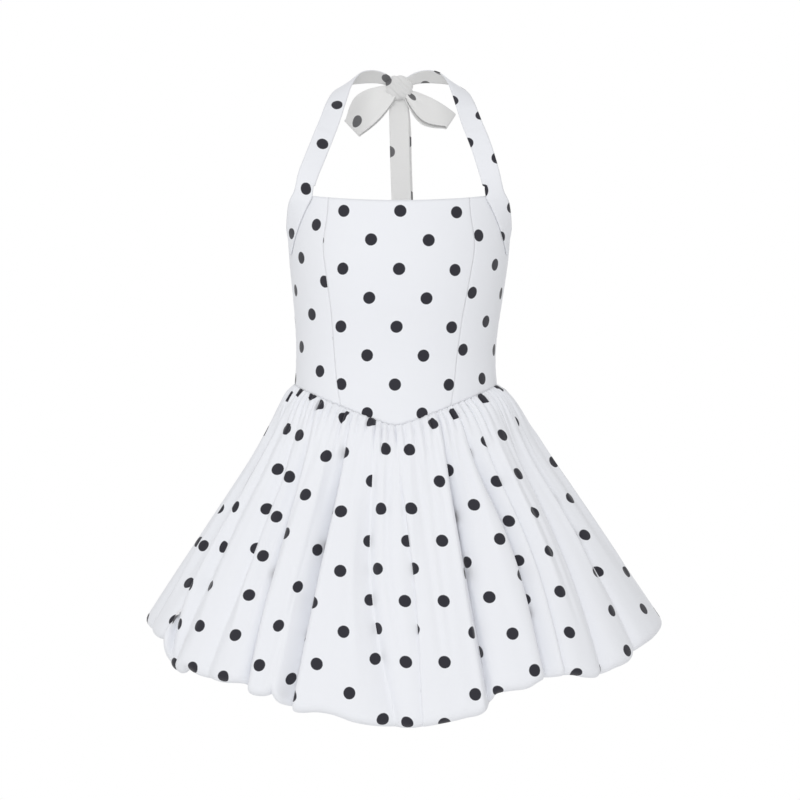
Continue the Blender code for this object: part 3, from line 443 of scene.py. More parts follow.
def skirt_panel(first, last):
    """Grid of points of the skirt between two seams, and its flat cloth's places."""
    even = np.linspace(0.0, 1.0, SKIRT_ROWS)
    down = mix(even**2.0, even, HEM_CROWDING)
    angle_parts, turn_parts, flutes = [], [], []
    gathers_before = 0
    for i in range(first, last):
        here, after = FOLDS[i], FOLDS[(i + 1) % len(FOLDS)]
        start, stop = fold_angle(here, down), fold_angle(after, down)
        stop = np.where(stop < start - 0.001, stop + 2 * math.pi, stop)
        t = np.linspace(0.0, 1.0, here.gathers * COLUMNS_PER_GATHER + 1)
        shares = t - FLUTE_CROWDING * np.sin(2 * math.pi * t) / (2 * math.pi)
        if i < last - 1:
            shares = shares[:-1]
        angle_parts.append(mix(start[:, None], stop[:, None], shares[None, :]))
        turn_parts.append(gathers_before + shares * here.gathers)
        flutes.append((here, gathers_before * COLUMNS_PER_GATHER, len(t) - 1))
        gathers_before += here.gathers
    angle = np.concatenate(angle_parts, axis=1)
    turns = np.concatenate(turn_parts)[None, :] + 0 * angle
    grid_down = down[:, None] + 0 * angle
    outer = skirt_surface(angle, grid_down, turns, sum(fold.gathers for fold in FOLDS[:first]))

    # the hem rolls under and the cloth goes up inside
    out, along = skirt_frame(angle[-1], grid_down[-1])
    turn = math.pi * np.arange(1, ROLL_ROWS + 1)[:, None, None] / ROLL_ROWS
    share = np.arange(1, RETURN_ROWS + 1)[:, None, None] / RETURN_ROWS
    roll = along * ROLL_RADIUS * np.sin(turn) - out * ROLL_RADIUS * (1 - np.cos(turn))
    inside = -along * RETURN_LENGTH * share - out * (2 * ROLL_RADIUS + RETURN_TAPER * share)
    points = np.concatenate([outer, outer[-1] + roll, outer[-1] + inside], axis=0)

    run = run_length(skirt_base(angle, grid_down), 0, 0) + (WAIST_SIDE_Z - waist_height(angle[0]))
    under = np.concatenate([ROLL_RADIUS * turn, ROLL_RADIUS * math.pi + RETURN_LENGTH * share])
    run = corners(np.concatenate([run, run[-1:] + under[..., 0]], axis=0))
    uv = []
    for fold, start, size in flutes:
        around = run_length(outer, 1, start + size // 2)
        around = np.concatenate([around, np.repeat(around[-1:], len(under), 0)], axis=0)
        flute = slice(start, start + size)
        placing = (fold.turn, fold.across, fold.down)
        uv.append(lay_print(corners(around)[:, flute], run[:, flute], *placing))
    return inset_ends(points), np.concatenate(uv, axis=1)


def build_skirt(cloth):
    waists = [fold.waist for fold in FOLDS]
    left, right = waists.index(-90), waists.index(90)
    for node, first, last in (
        ("skirt_front", left, right),
        ("skirt_back_right", right, len(FOLDS)),
        ("skirt_back_left", 0, left),
    ):
        yield cloth_piece(node, *skirt_panel(first, last), cloth, SKIRT_THICK, flip=True)


# ---- bodice cloth ----
BODICE_ROWS = 70
CENTRE_COLUMNS = 71
BACK_COLUMNS = 57
SIDE_COLUMNS = (13, 31)  # from the princess seam to the neck's corner, and on to the side
BODICE_THICK = 1.2
SEAM_DIP = 0.12  # how far the cloth dips where it turns into a seam
WAIST_DIP = 0.06
SEAM_SOFT = 2.2
PUCKER_HEIGHT = 0.22  # of the small puckers along a seam
PUCKER_LENGTH = 11.0
PUCKER_REACH = 7.0
PUCKER_START = 1.2

CORNER_ANGLE = float(angle_at(NECK_CORNER_X, NECK_CORNER_Z))


def neck_height(angle):
    return mix(NECK_CENTRE_Z, NECK_CORNER_Z, np.minimum(np.abs(angle) / CORNER_ANGLE, 1.0) ** 2)


def side_front_top(angle):
    share = (np.abs(angle) - CORNER_ANGLE) / (math.pi / 2 - CORNER_ANGLE)
    armhole = mix(NECK_CORNER_Z, UNDERARM_Z, smooth(share))
    return np.where(np.abs(angle) <= CORNER_ANGLE, neck_height(angle), armhole)


def princess_right(height):
    return angle_at(PRINCESS(height), height)


def princess_left(height):
    return -princess_right(height)


def steady(value):
    """A seam at one angle all the way up, or a top edge at one height all round."""
    return lambda at: value + 0 * at


def seam_angles(edge, top, up):
    """Angles of a panel's side seam, from the waist to its top edge."""
    low, high = edge(WAIST_SIDE_Z), edge(NECK_CORNER_Z)
    for _ in range(4):  # the seam's ends and the edges' heights there settle together
        low, high = edge(waist_height(low)), edge(top(high))
    return edge(mix(waist_height(low), top(high), up))


def seam_form(points, normals):
    """Dips the cloth into its sewn edges, with small puckers running into them."""
    up, across = run_length(points, 0, 0), run_length(points, 1, 0)
    from_right = -run_length(points, 1, points.shape[1] - 1)
    drop = np.zeros(points.shape[:2])
    edges = ((across, up, SEAM_DIP), (from_right, up, SEAM_DIP), (up, across, WAIST_DIP))
    for distance, along, deep in edges:
        turns = along / PUCKER_LENGTH
        wave = np.sin(turns * 2 * math.pi) + 0.6 * np.sin(turns * 3.7 + 1.3)
        reach = np.exp(-distance / PUCKER_REACH) * (1 - np.exp(-distance / PUCKER_START))
        drop += deep * np.exp(-((distance / SEAM_SOFT) ** 2)) + PUCKER_HEIGHT * wave * reach
    return points - normals * drop[..., None]


def bodice_panel(cloth, node, across, left_edge, right_edge, top, *placing):
    """A panel between two seams, from the waist to its top edge."""
    up = np.linspace(0.0, 1.0, BODICE_ROWS)
    left, right = (seam_angles(edge, top, up)[:, None] for edge in (left_edge, right_edge))
    angle = mix(left, right, across)
    height = mix(waist_height(angle[0]), top(angle[-1]), up[:, None])
    form = form_point(angle, height)
    middle = int(np.argmin(np.abs(across - 0.5)))
    along = -run_length(form, 0, BODICE_ROWS - 1) - (height[-1] - height[-1, middle])
    uv = corners(lay_print(run_length(form, 1, middle), along, *placing))
    points = inset_ends(seam_form(form, form_normal(angle, height)))
    return cloth_piece(node, points, uv, cloth, BODICE_THICK, side=-1.0)


def build_bodice(cloth):
    side = math.pi / 2
    inner = float(princess_right(NECK_CORNER_Z))
    corner = (CORNER_ANGLE - inner) / (side - inner)
    before, after = SIDE_COLUMNS
    outward = np.concatenate([np.linspace(0, corner, before)[:-1], np.linspace(corner, 1, after)])
    centre, back = np.linspace(0, 1, CENTRE_COLUMNS), np.linspace(0, 1, BACK_COLUMNS)
    inward = 1 - outward[::-1]
    left, right, back_top = steady(-side), steady(side), steady(UNDERARM_Z)
    # the last three say how the print lies: turned, and moved across and down
    for panel in (
        ("front_centre", centre, princess_left, princess_right, neck_height, -0.7, -1.8, -13.6),
        ("side_front_left", inward, left, princess_left, side_front_top, 6.5, -43.4, -25.2),
        ("side_front_right", outward, princess_right, right, side_front_top, 1.7, -18.4, -32.2),
        ("back_right", back, right, steady(math.pi), back_top, 3.0, 6.0, 24.0),
        ("back_left", back, steady(-math.pi), left, back_top, -3.0, -12.0, 2.0),
    ):
        yield bodice_panel(cloth, "bodice_" + panel[0], *panel[1:])


# ---- straps ----
STRAP_WIDTH = 26.0
STRAP_CROWN = 0.5
STRAP_THICK = 1.2
STRAP_STEPS = 10
STRAP_ACROSS = 12
STRAP_END_WIDTH = 0.3  # share of the width left where the strap runs out along the armhole
STRAP_END_LENGTH = 34.0
STRAP_OFF_FORM = LAY_GAP + CLOTH / 2
ARMHOLE_STRAP = table(
    "angle height turn climb",
    (71.5, -223, 0, 8), (64.5, -205.5, 0, 14), (57.5, -186, 8, 20), (51.5, -169, 20, 22),
    (47, -155, 16, 21),
)
FREE_STRAP = table(
    "x y z across_x across_y across_z width",
    (113.5, -146, -128, 0.9, 0.24, 0.35, 26), (107, -139, -110, 0.92, 0.16, 0.36, 26),
    (98.3, -127, -86.2, 0.93, 0.14, 0.36, 26), (88, -110, -57, 0.92, 0.22, 0.32, 26),
    (79.5, -89, -30, 0.9, 0.38, 0.16, 26), (71, -65, -8, 0.84, 0.48, -0.22, 26),
    (58, -40, 6, 0.6, 0.62, -0.5, 26), (41, -19.5, 12, 0.34, 0.76, -0.56, 25),
    (24, -2, 13, 0.14, 0.82, -0.56, 22), (8, 8, 8, 0.05, 0.7, -0.7, 14),
)
# The last three say how far the print is moved across and down the strap and drawn out along it.
STRAPS = table(
    "node sign spread across down drawn",
    ("halter_strap_left", -1, 0.0, -2.5, -28.5, 1.0),
    ("halter_strap_right", 1, 3.5, 15.0, -25.1, 0.945),
)


def armhole_section(row, sign):
    """Inner and outer edge of a strap where it lies on the armhole."""
    angle, height = math.radians(row.angle) * sign, float(row.height)
    turn, climb = math.radians(row.turn), math.radians(row.climb)
    normal = form_normal(angle, height)
    inner = form_point(angle, height) + normal * STRAP_OFF_FORM
    around = unit(form_point(angle + ANGLE_STEP * sign, height) - form_point(angle, height))
    across = (around * math.cos(turn) + normal * math.sin(turn)) * math.cos(climb)
    across = across + np.array([0, 0, math.sin(climb)])
    return inner, inner + across * STRAP_WIDTH


def free_section(row, sign, spread):
    centre = np.array([row.x + spread, row.y, row.z])
    half = unit(np.array([row.across_x, row.across_y, row.across_z])) * row.width / 2
    flip = np.array([sign, 1.0, 1.0])
    return (centre - half) * flip, (centre + half) * flip


def strip_edges(sections, parts):
    """Both edges of a strip, read from smooth curves through its sections."""
    at = np.linspace(0, len(sections) - 1, (len(sections) - 1) * parts + 1)
    values = np.array(sections, float).reshape(len(sections), 6).T
    read = np.stack([Curve(range(len(sections)), row)(at) for row in values], axis=-1)
    return read[:, :3], read[:, 3:]


def clear_of_form(points, lift):
    """Moves points out from the body form until they stand clear of it."""
    height = points[..., 2]
    half_width, front, back, shift = (curve(height) for curve in FORM_CURVES)
    aside, ahead = points[..., 0] - shift, AXIS_Y - points[..., 1]
    angle = np.arctan2(aside / half_width, ahead / np.where(ahead > 0, front, back))
    normal = form_normal(angle, height)
    away = ((points - form_point(angle, height)) * normal).sum(-1)
    return points + normal * np.maximum(0.0, lift - away)[..., None]


def strap_grid(inner, outer):
    """Grid of points between a strap's two edges, crowned outwards, nearly flat between them."""
    share = np.linspace(0, 1, STRAP_ACROSS + 1)
    along = unit(np.gradient((inner + outer) / 2, axis=0))
    normal = unit(np.cross(outer - inner, along))
    facing = (normal * (np.array([0, AXIS_Y, 0]) - inner)).sum(-1)
    normal = np.where((facing > 0)[:, None], -normal, normal)
    bulge = STRAP_CROWN * (1 - np.abs(2 * share - 1) ** 4)
    return mix(inner[:, None], outer[:, None], share[:, None]) + normal[:, None] * bulge[:, None]


def strip_uv(points, row):
    """Flat places along a strip, with the print moved as its row says."""
    middle = points.shape[1] // 2
    u = run_length(points, 1, middle) + row.across
    v = run_length(points[:, middle:middle + 1], 0, 0) * row.drawn + row.down + 0 * u
    return corners(np.stack([u, v], axis=-1))


def build_straps(cloth):
    for strap in STRAPS:
        sign = strap.sign
        sections = [armhole_section(row, sign) for row in ARMHOLE_STRAP]
        for i, row in enumerate(FREE_STRAP):
            share = float(smooth(i / 2) * (1 - smooth((i - len(FREE_STRAP) + 4) / 3)))
            sections.append(free_section(row, sign, strap.spread * share))
        inner, outer = strip_edges(sections, STRAP_STEPS)
        run = run_length(inner[:, None], 0, 0)
        outer = mix(inner, outer, mix(STRAP_END_WIDTH, 1.0, smooth(run / STRAP_END_LENGTH)))
        points = strap_grid(inner, outer)
        near = points[..., 2] < NECK_CORNER_Z + STRAP_WIDTH / 2
        points = np.where(near[..., None], clear_of_form(points, STRAP_OFF_FORM), points)
        if sign < 0:
            points = points[:, ::-1]
        yield cloth_piece(strap.node, points, strip_uv(points, strap), cloth, STRAP_THICK)


# ---- knot, bow and tie ends ----
KNOT_CENTRE = (0.0, 9.5, 1.5)
KNOT_HALF = (18.5, 9.3, 16.5)
KNOT_WAIST = 0.10  # share by which the wrap narrows in the middle
KNOT_SQUARE = 2.5
KNOT_TILT = math.radians(-38.0)
KNOT_SEGMENTS, KNOT_RINGS = 128, 96
KNOT_PRINT_SCALE, KNOT_PRINT_X, KNOT_PRINT_Z = 1.1, 0.0180, -0.0115  # places in metres
# Creases of the knot's wrap, from its upper left to its lower right.
KNOT_CREASES = table(
    "across depth width",
    (-0.52, 1.3, 0.11), (-0.16, 0.8, 0.08), (0.17, 1.0, 0.09), (0.58, 1.5, 0.12),
)
TIE_THICK = 1.1
LOOP_SECTIONS = table(
    "along half_width apart swell",
    (1, 7, 3.6, 0), (12, 13, 5, 0.35), (27, 18.5, 7, 0.85), (42, 20.5, 8, 1), (56, 18, 7.5, 0.6),
    (69, 13.5, 6, 0),
)
LOOPS = table(
    "node side root slope lean roll swell size across down drawn",
    ("bow_loop_left", -1, (-6.0, 6.5, 0.5), -43.0, 6.0, 10.0, 5.0, 1.06, 0.7, -60.4, 1.0),
    ("bow_loop_right", 1, (9.8, 6.5, -6.5), -32.0, 5.0, 32.0, -6.0, 0.95, 35.5, 30.8, 0.87),
)
LOOP_ACROSS = 33
LOOP_ALONG = 110
PLEAT_HEIGHT = 0.75
PLEAT_START, PLEAT_FADE = 6.0, 16.0
LOOP_RUMPLE = 0.4
TAIL_SECTIONS = table(
    "z x y width",
    (-1, 0, 10.5, 14), (-22, -0.5, 15.5, 24), (-50, 0.5, 18.5, 26), (-95, 1.5, 22.5, 26),
    (-140, 3, 26, 26), (-172, 3.5, 29, 26),
)
TAILS = table(
    "node behind_knot behind shift longer across down drawn",
    ("tie_tail_inner", 0.0, 0.0, 0.0, 0.0, 14.0, -80.7, 1.0),
    ("tie_tail_outer", 2.3, 4.2, 2.2, 8.0, -8.0, 4.0, 1.0),
)
TAIL_SLANT = 6.0
TAIL_STEPS = 18
TAIL_ACROSS = 15


def build_knot(material):
    """The knot: a flat pad of cloth wrapped on the slant, creased along the wrap."""
    work = bmesh.new()
    bmesh.ops.create_uvsphere(work, u_segments=KNOT_SEGMENTS, v_segments=KNOT_RINGS, radius=1.0)
    cos, sin = math.cos(KNOT_TILT), math.sin(KNOT_TILT)
    for vert in work.verts:
        p = vert.co.copy()
        along = p.x * cos + p.z * sin
        bent = -p.x * sin + p.z * cos + 0.10 * math.sin(along * 2.2 + 0.5)
        pressed = 0.0
        for crease in KNOT_CREASES:
            away = (bent - crease.across) / crease.width
            pressed += crease.depth * math.exp(-(away**2))
        pressed *= 1.0 - 0.35 * along * along
        waist = 1.0 - KNOT_WAIST * math.exp(-((along / 0.35) ** 2))
        size = sum(abs(value) ** KNOT_SQUARE for value in p) ** (1 / KNOT_SQUARE)
        for axis, narrowed in enumerate((waist, 1.0, waist)):
            p[axis] = KNOT_CENTRE[axis] + p[axis] / size * (KNOT_HALF[axis] * narrowed - pressed)
        vert.co = p * MM
    mesh = bpy.data.meshes.new("neck_knot_cloth")
    work.to_mesh(mesh)
    work.free()
    layer = mesh.uv_layers.new(name="flat_cloth")
    for loop in mesh.loops:
        co = mesh.vertices[loop.vertex_index].co
        layer.data[loop.index].uv = (
            co.x * KNOT_PRINT_SCALE + KNOT_PRINT_X, co.z * KNOT_PRINT_SCALE + KNOT_PRINT_Z,
        )
    mesh.materials.append(material)
    mesh.shade_smooth()
    return new_object("neck_knot_cloth", mesh)


def loop_points(place):
    """A bow loop out from the knot, round its end and back behind itself, as a grid."""
    slope, roll, lean = (math.radians(turn) for turn in (place.slope, place.roll, place.lean))
    side, size = place.side, place.size
    across = np.array([side * math.sin(-slope), 0, math.cos(slope)]) * math.cos(roll)
    out = np.array([side * math.cos(slope), 0, math.sin(slope)]) * math.cos(lean)
    across[1], out[1] = math.sin(roll), math.sin(lean)
    depth = unit(np.cross(out, across))
    if depth[1] < 0:
        depth = -depth

    # the strip's path seen from its edge: distance out, half width, distance back and swell
    there = [(row.along, row.half_width, -row.apart / 2, row.swell) for row in LOOP_SECTIONS]
    there = np.array(there, float)
    mirrored = there[::-1] * (1, 1, -1, 1)
    far, half_width, radius, _ = mirrored[0]
    turns = np.radians([-60, -30, 0, 30, 60])
    end = [(far + radius * math.cos(t), half_width, radius * math.sin(t), 0.0) for t in turns]
    path = np.concatenate([there, end, mirrored])
    run = np.concatenate([[0], np.cumsum(np.hypot(np.diff(path[:, 0]), np.diff(path[:, 2])))])
    at = np.linspace(0, run[-1], LOOP_ALONG)
    along, half, away, swell = (Curve(run, path[:, k])(at)[:, None] for k in range(4))
    share = np.linspace(-1, 1, LOOP_ACROSS)

    points = np.array(place.root) + out * (along * size)[..., None] + depth * away[..., None]
    points = points + across * (swell * place.swell + half * size * share)[..., None]
    # pleats run out from the knot and fade towards the loop's end
    fade = np.exp(-np.maximum(along - PLEAT_START, 0) / PLEAT_FADE)
    pleat = PLEAT_HEIGHT * np.sin(share * 7.5 + 0.6) * fade * np.minimum(half / 10, 1)
    pleat = pleat + LOOP_RUMPLE * np.sin(along / 21 + share * 1.6) * (1 - fade)
    points = points + depth * pleat[..., None]
    u = share * half.max() * size + place.across + 0 * along
    v = at[:, None] * place.drawn + place.down + 0 * share
    return points, np.stack([u, v], axis=-1)


def build_loops(cloth):
    for place in LOOPS:
        points, flat = loop_points(place)
        if place.side < 0:
            points, flat = points[:, ::-1], flat[:, ::-1]
        yield cloth_piece(place.node, points, corners(flat), cloth, TIE_THICK)


def tail_points(tail):
    sections = []
    for i, row in enumerate(TAIL_SECTIONS):
        at_end = float(i == len(TAIL_SECTIONS) - 1)
        share = float(smooth(i / 2))
        behind = mix(tail.behind_knot, tail.behind, share)
        centre = np.array([row.x, row.y, row.z])
        centre = centre + (tail.shift * share, behind, -tail.longer * at_end)
        half = np.array([row.width / 2, 0, TAIL_SLANT / 2 * at_end])
        sections.append((centre - half, centre + half))
    left, right = strip_edges(sections, TAIL_STEPS)
    share = np.linspace(0, 1, TAIL_ACROSS)
    points = mix(left[:, None], right[:, None], share[:, None])
    down = np.linspace(0, 1, len(points))[:, None]
    ripple = 0.45 * np.sin(share * 9.0 + 0.8) * np.exp(-down * 7)
    points[..., 1] += ripple + 0.35 * np.sin(down * 11 + share * 2.0) * np.sin(math.pi * down)
    return points


def build_tails(cloth):
    for tail in TAILS:
        points = tail_points(tail)
        yield cloth_piece(tail.node, points, strip_uv(points, tail), cloth, TIE_THICK)


# ---- zip ----
ZIP_WIDTH = 17.0
ZIP_ACROSS = 9
ZIP_STEPS = 60
ZIP_SOLID = 1.2  # thickness of the tape's solid, which the sheet lies in the middle of
ZIP_THICK = 0.6
ZIP_BELOW_WAIST = 95.0
ZIP_INSET = 3.0
ZIP_SAG = 0.35
STITCH_SHARE = 0.73  # of that sag, where the tape is stitched
STITCH_FROM_MIDDLE = 6.2
TEETH_INSET = 0.75
TEETH_FIRST = 7  # step of the centre line at which the teeth start, below the slider
BIT_SIZES = ("Spacing", "Length", "Across", "Height", "Unevenness")
TEETH = dict(zip(BIT_SIZES, (1.45 * MM, 0.95 * MM, 3.4 * MM, 1.0 * MM, 0.02)))
STITCHES = dict(zip(BIT_SIZES, (2.6 * MM, 2.1 * MM, 0.42 * MM, 0.38 * MM, 0.12)))


def zip_centre_line():
    """Middle of the tape, from the top edge down inside the skirt."""
    share = np.linspace(0, 1, ZIP_STEPS)
    back = form_point(math.pi + 0 * share, mix(UNDERARM_Z - 1.0, WAIST_SIDE_Z - 1.0, share))
    back[:, 1] -= CLOTH + LAY_GAP + ZIP_SOLID / 2 + (ZIP_INSET - LAY_GAP) * smooth(3 * share - 2)
    length = float(skirt_length(np.array([math.pi]))[0])
    down = np.linspace(0.15, 1.0, ZIP_STEPS // 2) * ZIP_BELOW_WAIST / length
    angle = math.pi + 0 * down
    outward, _ = skirt_frame(angle, down)
    low = skirt_base(angle, down) - outward * (CLOTH / 2 + ZIP_INSET)
    return np.concatenate([back, low], axis=0)


def build_zip(tape):
    share = np.linspace(1, -1, ZIP_ACROSS)
    points = np.repeat(zip_centre_line()[:, None], ZIP_ACROSS, axis=1)
    points[..., 0] += share * ZIP_WIDTH / 2
    points[..., 1] -= np.abs(share) * ZIP_SAG
    uv = strip_uv(points, SimpleNamespace(across=0.0, down=0.0, drawn=1.0))
    yield cloth_piece("back_zip", points, uv, tape, ZIP_THICK, ending="_tape")


# ---- nodes ----
class Wires:
    """Short ways of placing nodes in a tree. An input is given as a value, a socket or a node."""

    def __init__(self, tree):
        self.tree = tree

    def feed(self, node, inputs):
        for key, source in dict(inputs).items():
            if isinstance(source, bpy.types.Node):
                source = source.outputs[0]
            if isinstance(source, bpy.types.NodeSocket):
                self.tree.links.new(source, node.inputs[key])
            else:
                node.inputs[key].default_value = source

    def node(self, kind, inputs=(), **settings):
        node = self.tree.nodes.new(kind)
        for key, value in settings.items():
            setattr(node, key, value)
        self.feed(node, inputs)
        return node

    def math(self, operation, *values, **settings):
        return self.node("ShaderNodeMath", enumerate(values), operation=operation, **settings)

    def step(self, value, low, high, first=0.0, last=1.0):
        labels = ("Value", "From Min", "From Max", "To Min", "To Max")
        inputs = zip(labels, (value, low, high, first, last))
        return self.node("ShaderNodeMapRange", inputs, interpolation_type="SMOOTHSTEP")

    def colour(self, share, first, last):
        inputs = {0: share, 6: first, 7: last}
        return self.node("ShaderNodeMix", inputs, data_type="RGBA").outputs[2]

    def noise(self, vector, scale, detail=2.0):
        return self.node("ShaderNodeTexNoise", {"Vector": vector, "Scale": scale, "Detail": detail})

    def bump(self, height, strength, distance):
        inputs = {"Height": height, "Strength": strength, "Distance": distance}
        return self.node("ShaderNodeBump", inputs)

    def across_and_along(self, vector):
        return self.node("ShaderNodeSeparateXYZ", {0: vector}).outputs[:2]

    def here(self):
        return self.node("ShaderNodeTexCoord").outputs["Object"]

    def group(self, group, inputs):
        return self.node("ShaderNodeGroup", inputs, node_tree=group).outputs


def new_group(name, inputs, outputs, tree_type="ShaderNodeTree"):
    """A node group whose sockets are given by their kind or, for a number, by its usual value."""
    group = bpy.data.node_groups.new(name, tree_type)
    for in_out, sockets in (("INPUT", inputs), ("OUTPUT", outputs)):
        for label, given in sockets.items():
            number = isinstance(given, float)
            kind = "NodeSocketFloat" if number else "NodeSocket" + given
            socket = group.interface.new_socket(name=label, in_out=in_out, socket_type=kind)
            if number:
                socket.default_value = given
    w = Wires(group)
    return group, w, w.node("NodeGroupInput").outputs, w.node("NodeGroupOutput")


# ---- zip teeth and stitches ----
def row_tree():
    """Small rounded bits set in a row along a line: zip teeth or machine stitches."""
    inputs = {"Line": "Geometry", **dict.fromkeys(BIT_SIZES, "Float")}
    inputs.update({"Seed": "Int", "Thread": "Material"})
    tree, w, given, out = new_group("row_of_bits", inputs, {"Row": "Geometry"}, "GeometryNodeTree")
    curve = w.node("GeometryNodeMeshToCurve", {"Mesh": given["Line"]})
    inputs = {"Curve": curve, "Length": given["Spacing"]}
    evenly = w.node("GeometryNodeResampleCurve", inputs, mode="LENGTH")
    ball = w.node("GeometryNodeMeshUVSphere", {"Segments": 8, "Rings": 5, "Radius": 0.5})
    tangent = w.node("GeometryNodeInputTangent")
    turn = w.node("FunctionNodeAlignRotationToVector", {"Vector": tangent}, axis="X")
    inputs = {"X": given["Length"], "Y": given["Across"], "Z": given["Height"]}
    size = w.node("ShaderNodeCombineXYZ", inputs)
    inputs = {2: w.math("SUBTRACT", 1.0, given["Unevenness"]), 3: 1.0, "Seed": given["Seed"]}
    chance = w.node("FunctionNodeRandomValue", inputs, data_type="FLOAT").outputs[1]
    varied = w.node("ShaderNodeVectorMath", {0: size, "Scale": chance}, operation="SCALE")
    inputs = {"Points": evenly, "Instance": ball, "Rotation": turn, "Scale": varied}
    bits = w.node("GeometryNodeInstanceOnPoints", inputs)
    merged = w.node("GeometryNodeRealizeInstances", {0: bits})
    inputs = {"Geometry": merged, "Material": given["Thread"]}
    w.feed(out, {"Row": w.node("GeometryNodeSetMaterial", inputs)})
    return tree


def row_piece(name, tree, lines, sizes, seed, material):
    """One mesh of bits in rows along lines of points."""
    points, edges = [], []
    for line in lines:
        first = len(points)
        points += (np.asarray(line) * MM).tolist()
        edges += [(first + k, first + k + 1) for k in range(len(line) - 1)]
    mesh = bpy.data.meshes.new(name + "_line")
    mesh.from_pydata(points, edges, [])
    holder = new_object(name + "_line", mesh)
    rows = holder.modifiers.new("row", "NODES")
    rows.node_group = tree
    values = {**sizes, "Seed": seed, "Thread": material}
    for item in tree.interface.items_tree:
        if item.name in values:
            rows[item.identifier] = values[item.name]
    ready = holder.evaluated_get(bpy.context.evaluated_depsgraph_get())
    made = bpy.data.meshes.new_from_object(ready)
    made.name = name
    made.shade_smooth()
    piece = new_object(name, made)
    bpy.data.objects.remove(holder)
    return piece


def build_zip_details(teeth_material, thread_material):
    """Zip teeth down the inside of the tape, and the stitching that holds the tape."""
    tree = row_tree()
    centre = zip_centre_line()
    teeth = (centre - np.array([0.0, ZIP_THICK / 2 + TEETH_INSET, 0.0]))[TEETH_FIRST:]
    inside = ZIP_THICK / 2 + ZIP_SAG * STITCH_SHARE
    sides = [centre + np.array([side * STITCH_FROM_MIDDLE, -inside, 0.0]) for side in (-1, 1)]
    return [
        row_piece("back_zip_teeth", tree, [teeth], TEETH, 3, teeth_material),
        row_piece("back_zip_stitches", tree, sides, STITCHES, 5, thread_material),
    ]


# ---- materials ----
GROUND = (0.815, 0.828, 0.865)
# Wrong side of the bodice and skirt: the faint print is the cloth's own, the ground is painted
# greyer than the front's as painted shade.
WRONG_SIDE_PAINTED_SHADE = (0.78, 0.78, 0.79)
# Ground of the bow, tie ends and straps' inside: painted a little greyer and more neutral than the
# front's, as painted shade.
TIE_GROUND_PAINTED_SHADE = (0.80, 0.80, 0.796)
# Ground of the knot: painted darker than the ties and the front, as painted shade.
KNOT_GROUND_PAINTED_SHADE = (0.72, 0.72, 0.716)
INK = (0.022, 0.0215, 0.029)
FAINT_INK = (0.125, 0.125, 0.13)
THREAD_GREY = (0.7, 0.7, 0.72)
DOT_RADIUS = 0.0076
SHEEN = 0.25
SHEEN_ROUGH = 0.5
SPECULAR = 0.2
CLOTH_ROUGH = 0.85
INK_SMOOTHER, PLAIN_SMOOTHER = 0.12, 0.06
WEAVE_HEIGHT = 0.00002
RUMPLE_HEIGHT = 0.0008
CLOTH_BUMP = 0.35
# Colours of the ground and of the dots, and the print's repeat across and along.
CLOTHS = table(
    "key name ground ink across along",
    ("bodice", "printed_cotton_bodice", GROUND, INK, 0.071, 0.0716),
    ("skirt", "printed_cotton_skirt", GROUND, INK, 0.074, 0.0746),
    ("bias", "printed_cotton_strap", GROUND, INK, 0.060, 0.0655),
    # The rows from here to the knot have grounds painted greyer than the front's, as painted shade;
    # on the inside rows the faint dots are the print showing through.
    ("inside_bodice", "cotton_inside_bodice", WRONG_SIDE_PAINTED_SHADE, FAINT_INK, 0.071, 0.0716),
    ("inside_strap", "cotton_inside_strap", TIE_GROUND_PAINTED_SHADE, FAINT_INK, 0.060, 0.0655),
    ("inside_skirt", "cotton_inside_skirt", WRONG_SIDE_PAINTED_SHADE, FAINT_INK, 0.074, 0.0746),
    ("tie", "printed_cotton_tie", TIE_GROUND_PAINTED_SHADE, FAINT_INK, 0.071, 0.0716),
    ("knot", "printed_cotton_knot_painted_shade", KNOT_GROUND_PAINTED_SHADE, FAINT_INK, 0.071, 0.0716),
    ("tape", "zip_tape_white", (0.80, 0.80, 0.80), None, None, None),
)


def tint(colour, brighter=1.0):
    return tuple(min(1.0, brighter * v) for v in colour) + (1.0,)


def dot_print_group():
    """Round dots in staggered rows. The repeat, the dot's size and its place are in metres."""
    inputs = {
        "Flat cloth": "Vector", "Repeat across": 0.071, "Repeat along": 0.071,
        "Dot radius": DOT_RADIUS, "Edge softness": 0.0004,
    }
    group, w, given, out = new_group("dot_print", inputs, {"Ink": "Float"})
    place, radius, soft = (given[label] for label in ("Flat cloth", "Dot radius", "Edge softness"))
    x, y = w.across_and_along(place)
    distances = []
    for shift in (0.0, 0.5):
        squares = []
        for value, repeat in ((x, given["Repeat across"]), (y, given["Repeat along"])):
            cell = w.math("ADD", w.math("DIVIDE", value, repeat), shift)
            away = w.math("MULTIPLY", w.math("SUBTRACT", w.math("FRACT", cell), 0.5), repeat)
            squares.append(w.math("POWER", away, 2.0))
        distances.append(w.math("SQRT", w.math("ADD", *squares)))
    uneven = w.math("MULTIPLY", w.math("SUBTRACT", w.noise(place, 900.0), 0.5), 0.0006)
    edge = w.math("ADD", w.math("MINIMUM", *distances), uneven)
    low, high = w.math("SUBTRACT", radius, soft), w.math("ADD", radius, soft)
    w.feed(out, {"Ink": w.step(edge, low, high, 1.0, 0.0)})
    return group


